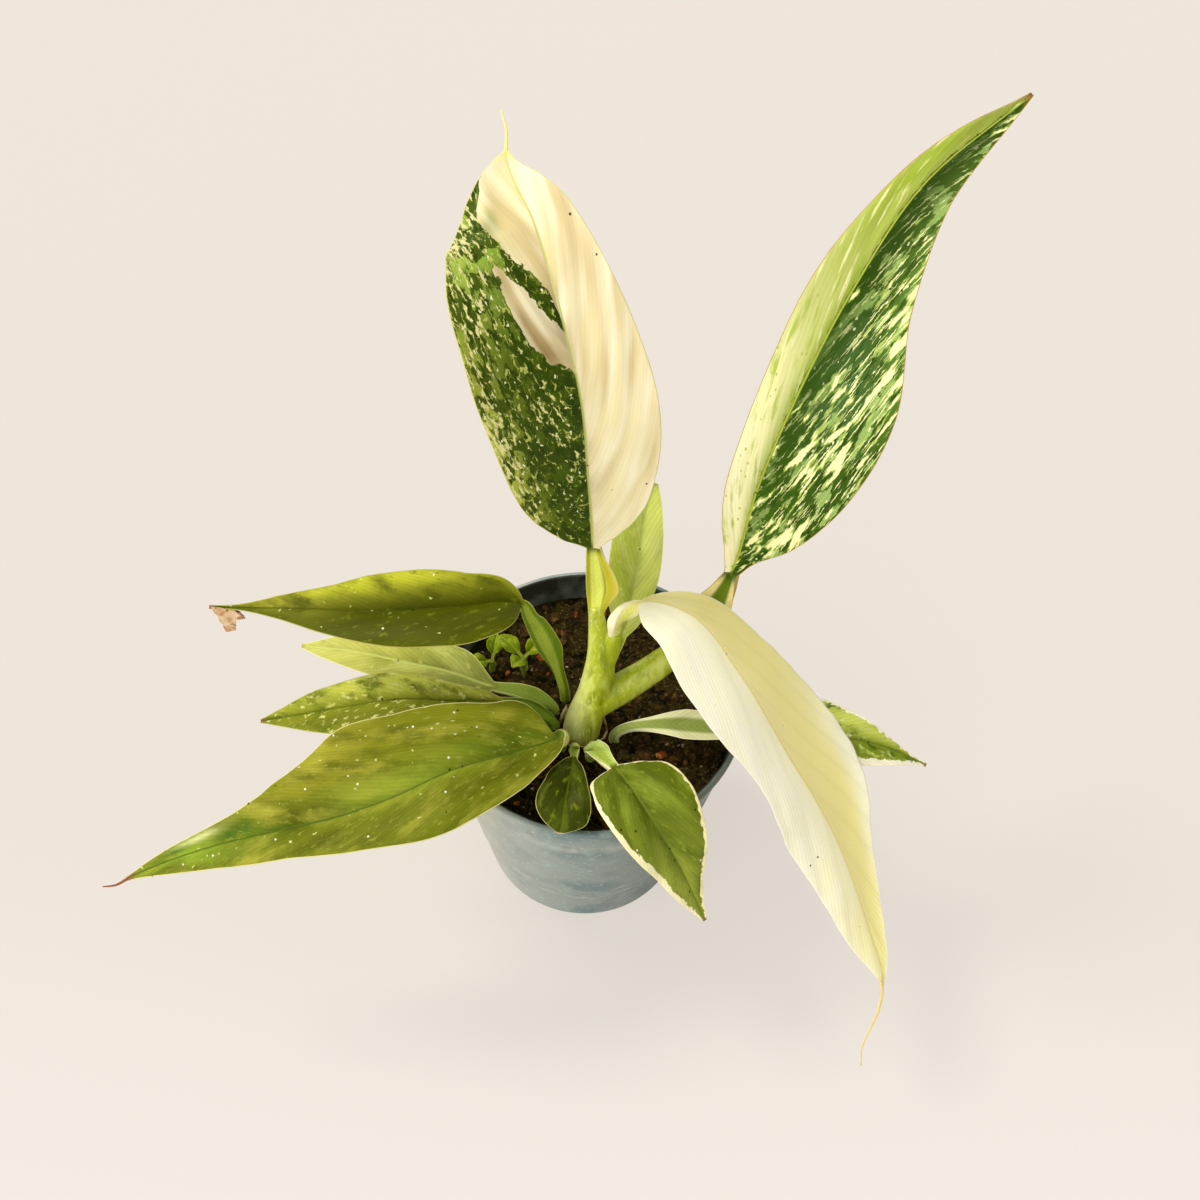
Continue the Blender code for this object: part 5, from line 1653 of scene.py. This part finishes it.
def litter(name):
    """A tree that strews crumbs or chips over a surface.

    It has inputs for how many lie on a square metre, the size of the smallest and of the largest, how flat
    and how rough they are, the random seed and the material.
    """
    tree = bpy.data.node_groups.new(name, "GeometryNodeTree")
    tree.interface.new_socket("Geometry", in_out="OUTPUT", socket_type="NodeSocketGeometry")
    for title, kind, value in LITTER_INPUTS:
        made = tree.interface.new_socket(title, in_out="INPUT", socket_type=kind)
        if value is not None:
            made.default_value = value
    given = add(tree, "NodeGroupInput").outputs
    seed = given["Seed"]
    strewn = add(
        tree, "GeometryNodeDistributePointsOnFaces",
        {"Mesh": given["Geometry"], "Density": given["Density"], "Seed": seed}, distribute_method="RANDOM",
    )
    block = add(tree, "GeometryNodeMeshIcoSphere", {"Radius": 0.5, "Subdivisions": 2}).outputs["Mesh"]
    size = add(
        tree, "FunctionNodeRandomValue", {2: given["Smallest"], 3: given["Largest"], "Seed": seed},
        data_type="FLOAT",
    ).outputs[1]
    shape, turn = (
        add(
            tree, "FunctionNodeRandomValue", {0: least, 1: most, "Seed": seed}, data_type="FLOAT_VECTOR"
        ).outputs[0]
        for least, most in (CRUMB_PROPORTIONS, CRUMB_TURNS)
    )
    flat = add(tree, "ShaderNodeCombineXYZ", {"X": 1.0, "Y": 1.0, "Z": given["Thickness"]}).outputs[0]
    scale = add(tree, "ShaderNodeVectorMath", {0: shape, "Scale": size}, operation="SCALE").outputs[0]
    scale = add(tree, "ShaderNodeVectorMath", {0: scale, 1: flat}, operation="MULTIPLY").outputs[0]
    placed = add(
        tree, "GeometryNodeInstanceOnPoints",
        {"Points": strewn.outputs["Points"], "Instance": block, "Rotation": turn, "Scale": scale},
    ).outputs[0]
    real = add(tree, "GeometryNodeRealizeInstances", {0: placed}).outputs[0]
    where = add(tree, "GeometryNodeInputPosition").outputs[0]
    bend = add(
        tree, "ShaderNodeTexNoise", {"Vector": where, "Scale": CRUMB_BUMPS, "Detail": 1.0}
    ).outputs["Color"]
    bend = add(
        tree, "ShaderNodeVectorMath", {0: bend, 1: (0.5, 0.5, 0.5)}, operation="SUBTRACT"
    ).outputs[0]
    bend = add(
        tree, "ShaderNodeVectorMath", {0: bend, "Scale": given["Roughness"]}, operation="SCALE"
    ).outputs[0]
    bent = add(tree, "GeometryNodeSetPosition", {"Geometry": real, "Offset": bend}).outputs[0]
    dressed = add(
        tree, "GeometryNodeSetMaterial", {"Geometry": bent, "Material": given["Material"]}
    ).outputs[0]
    add(tree, "NodeGroupOutput", {0: dressed})
    return tree


# The filling: cross-rings from its middle to the wall, points round it, its gaps to the wall at its surface
# and at the pot's floor, and how many rings litter lies on and how far under the surface it starts
SOIL_RINGS = 60
SOIL_TURNS = 181
SOIL_GAP = 0.2
SOIL_FOOT_GAP = 0.3
LITTER_RINGS = 56
LITTER_SINK = 0.3

# What lies on the soil. density: pieces on a square metre; smallest, largest, uneven: millimetres;
# thickness: against the width; seed: of the random draw
Litter = namedtuple("Litter", "name density smallest largest thickness uneven seed")
LITTER = (
    Litter("soil_crumbs", 170000.0, 0.8, 2.4, 0.8, 0.9, 3),
    Litter("soil_bark", 42000.0, 2.0, 6.0, 0.45, 1.6, 8),
    Litter("soil_perlite", 7000.0, 0.8, 2.0, 0.9, 0.7, 5),
    Litter("soil_pebbles", 1300.0, 2.0, 4.5, 0.8, 0.5, 12),
)


def soil_finishes(soil):
    """The finish of each kind of litter. The filling has the crumbs' own."""
    return {
        # Damp peat: nearly black and without any sheen, with brown crumbs and a few dry fibres
        "soil_crumbs": plain_finish(
            "bark_and_peat_mix", soil.earth, 0.95,
            [Patch("#120f06", 4, 0.4), Patch("#3a3014", 2.5, 0.25), Patch("#6a5a38", 1.0, 0.12)], 900.0, 0.5,
        ),
        # Chipped pine bark: dark brown flakes with reddish broken faces
        "soil_bark": plain_finish(
            "chipped_pine_bark", soil.bark, 0.85,
            [Patch("#1c150a", 3, 0.45), Patch("#6f4e24", 2, 0.2)], 1200.0, 0.2,
        ),
        # Expanded perlite: pale dull grains, stained grey by the peat
        "soil_perlite": plain_finish(
            "expanded_perlite", soil.perlite, 0.8, [Patch("#6f6656", 1.0, 0.4)], 1500.0, 0.1,
        ),
        # Fired clay: warm orange-brown pebbles with darker, damp patches
        "soil_pebbles": plain_finish(
            "fired_clay", soil.clay, 0.75, [Patch("#c27a3a", 3, 0.4), Patch("#5a2c14", 2, 0.2)], 900.0, 0.15,
        ),
    }


class PHILODENDRON_OT_soil(bpy.types.Operator):
    """Fills the pot with soil and strews crumbs, bark, perlite and pebbles over it"""

    bl_idname = "philodendron.soil"
    bl_label = "Soil"

    def execute(self, context):
        pot = context.scene.philodendron_pot
        soil = context.scene.philodendron_soil
        outer = wall_radius(pot, soil.level, pot.wall) / MM - SOIL_GAP
        turns = np.linspace(0, 2 * np.pi, SOIL_TURNS)
        rows = []
        for radius in outer * np.linspace(0.0, 1.0, SOIL_RINGS):
            x = radius * np.cos(turns)
            y = radius * np.sin(turns)
            z = [soil.level / MM + soil_height(a, b) for a, b in zip(x, y)]
            rows.append(np.stack([x, y, z], -1))
        top = np.array(rows)
        bottom = top.copy()
        bottom[..., :2] *= (wall_radius(pot, pot.wall, pot.wall) / MM - SOIL_FOOT_GAP) / outer
        bottom[..., 2] = pot.wall / MM + SOIL_FOOT_GAP
        finishes = soil_finishes(soil)
        filling = grid_mesh("soil_filling", top, bottom)
        shown("soil_filling", filling, finishes["soil_crumbs"], ["soil"])

        # Litter lies on a surface a little under the filling's, clear of the wall
        surface = bpy.data.meshes.new("soil_surface")
        inner = top[:LITTER_RINGS] - (0, 0, LITTER_SINK)
        count = inner.shape[1]
        faces = [
            (i * count + j, i * count + j + 1, (i + 1) * count + j + 1, (i + 1) * count + j)
            for i in range(1, LITTER_RINGS - 1) for j in range(count - 1)
        ]
        surface.from_pydata((inner.reshape(-1, 3) * MM).tolist(), [], faces)
        tree = litter("soil_litter")
        sockets = {item.name: item.identifier for item in tree.interface.items_tree if item.in_out == "INPUT"}
        for kind in LITTER:
            host = bpy.data.objects.new(kind.name, surface)
            context.scene.collection.objects.link(host)
            strew = host.modifiers.new("Litter", "NODES")
            strew.node_group = tree
            for title, value in (
                ("Density", kind.density), ("Smallest", kind.smallest * MM), ("Largest", kind.largest * MM),
                ("Thickness", kind.thickness), ("Roughness", kind.uneven * MM), ("Seed", kind.seed),
                ("Material", finishes[kind.name]),
            ):
                strew[sockets[title]] = value
            shown(kind.name, evaluated(host, kind.name), finishes[kind.name])
        return {"FINISHED"}


FLOOR_REACH = 4.0
# The floor's glow changes between these places, in metres along the view
GLOW_FAR = 0.02
GLOW_NEAR = -0.3
# Where the light comes from, and how wide its source looks in degrees: the window, high on the left, and a
# pale wall beside the camera
KEY_DIRECTION = (-0.6, 0.22, 1.0)
KEY_SPREAD = 16
FILL_DIRECTION = (-0.7, -0.75, 0.42)
FILL_SPREAD = 70
# The camera that shows the pot and the leaves as they are seen: its lens, its place in millimetres, and the
# directions of its right and its up
LENS = 39.0
SENSOR = 36.0
CAMERA_PLACE = (1.86, -235.28, 460.66)
CAMERA_RIGHT = (0.99881, 0.03906, 0.02933)
CAMERA_UP = (-0.04885, 0.79873, 0.59970)


def paper_finish(stage):
    """Matte white paper over a light table: no sheen, and an even glow, brighter near the camera."""
    made, tree, shader = new_finish("matte_paper")
    where = add(tree, "ShaderNodeTexCoord").outputs["Object"]
    ahead = add(tree, "ShaderNodeSeparateXYZ", {0: where}).outputs["Y"]
    nearer = add(
        tree, "ShaderNodeMapRange", {"Value": ahead, "From Min": GLOW_FAR, "From Max": GLOW_NEAR},
        interpolation_type="SMOOTHSTEP",
    ).outputs[0]
    glow = add(
        tree, "ShaderNodeMix", {"Factor": nearer, "A": stage.glow, "B": stage.front_glow}, data_type="RGBA"
    ).outputs["Result"]
    tree.links.new(glow, shader.inputs["Emission Color"])
    for socket, value in (
        ("Base Color", stage.floor), ("Roughness", 0.9), ("Specular IOR Level", 0.2),
        ("Emission Strength", 1.0),
    ):
        shader.inputs[socket].default_value = value
    return made


class PHILODENDRON_OT_stage(bpy.types.Operator):
    """Lays the pale floor and sets the light and the camera"""

    bl_idname = "philodendron.stage"
    bl_label = "Stage"

    def execute(self, context):
        stage = context.scene.philodendron_stage
        scene = context.scene
        mesh = bpy.data.meshes.new("floor")
        corners = [(x * FLOOR_REACH, y * FLOOR_REACH, 0) for x, y in ((-1, -1), (1, -1), (1, 1), (-1, 1))]
        mesh.from_pydata(corners, [], [(0, 1, 2, 3)])
        mesh.materials.append(paper_finish(stage))
        floor = bpy.data.objects.new("floor", mesh)
        scene.collection.objects.link(floor)

        world = bpy.data.worlds.new("room_light")
        world.use_nodes = True
        background = world.node_tree.nodes["Background"]
        background.inputs["Color"].default_value = colour("#fbf8f6")
        background.inputs["Strength"].default_value = stage.sky
        scene.world = world
        scene.view_settings.view_transform = "Standard"
        for name, strength, spread, direction in (
            ("window", stage.key, KEY_SPREAD, KEY_DIRECTION),
            ("fill", stage.fill, FILL_SPREAD, FILL_DIRECTION),
        ):
            light = bpy.data.lights.new(name, "SUN")
            light.energy = strength
            light.angle = math.radians(spread)
            light.color = colour("#fff9f0")[:3]
            lamp = bpy.data.objects.new(name, light)
            lamp.rotation_euler = Vector(direction).to_track_quat("Z", "Y").to_euler()
            scene.collection.objects.link(lamp)

        lens = bpy.data.cameras.new("camera")
        lens.sensor_width = SENSOR
        lens.lens = LENS
        lens.clip_start = 0.01
        camera = bpy.data.objects.new("camera", lens)
        right = Vector(CAMERA_RIGHT)
        up = Vector(CAMERA_UP)
        turned = Matrix((right, up, right.cross(up))).transposed().to_4x4()
        camera.matrix_world = Matrix.Translation(Vector(CAMERA_PLACE) * MM) @ turned
        scene.collection.objects.link(camera)
        scene.camera = camera
        return {"FINISHED"}


class PHILODENDRON_PT_panel(bpy.types.Panel):
    """Lists the pieces and the settings"""

    bl_idname = "PHILODENDRON_PT_panel"
    bl_label = "Potted philodendron"
    bl_space_type = "VIEW_3D"
    bl_region_type = "UI"
    bl_category = "Philodendron"

    def draw(self, context):
        for operator in OPERATORS:
            self.layout.operator(operator.bl_idname)
        for name in SETTINGS:
            box = self.layout.box()
            box.label(text=name.title())
            group = getattr(context.scene, "philodendron_" + name)
            for key in group.__annotations__:
                box.prop(group, key)


SETTINGS = {"plant": PlantSettings, "pot": PotSettings, "soil": SoilSettings, "stage": StageSettings}
OPERATORS = (
    PHILODENDRON_OT_pot, PHILODENDRON_OT_soil, PHILODENDRON_OT_crown, PHILODENDRON_OT_leaves,
    PHILODENDRON_OT_scrap, PHILODENDRON_OT_seedlings, PHILODENDRON_OT_stage,
)


def register():
    for item in (*SETTINGS.values(), *OPERATORS, PHILODENDRON_PT_panel):
        bpy.utils.register_class(item)
    for name, group in SETTINGS.items():
        setattr(bpy.types.Scene, "philodendron_" + name, PointerProperty(type=group))


def unregister():
    for name in SETTINGS:
        delattr(bpy.types.Scene, "philodendron_" + name)
    for item in (PHILODENDRON_PT_panel, *reversed(OPERATORS), *SETTINGS.values()):
        bpy.utils.unregister_class(item)


def main():
    register()
    bpy.ops.philodendron.pot()
    bpy.ops.philodendron.soil()
    bpy.ops.philodendron.crown()
    bpy.ops.philodendron.leaves()
    bpy.ops.philodendron.scrap()
    bpy.ops.philodendron.seedlings()
    bpy.ops.philodendron.stage()


if __name__ == "__main__":
    main()
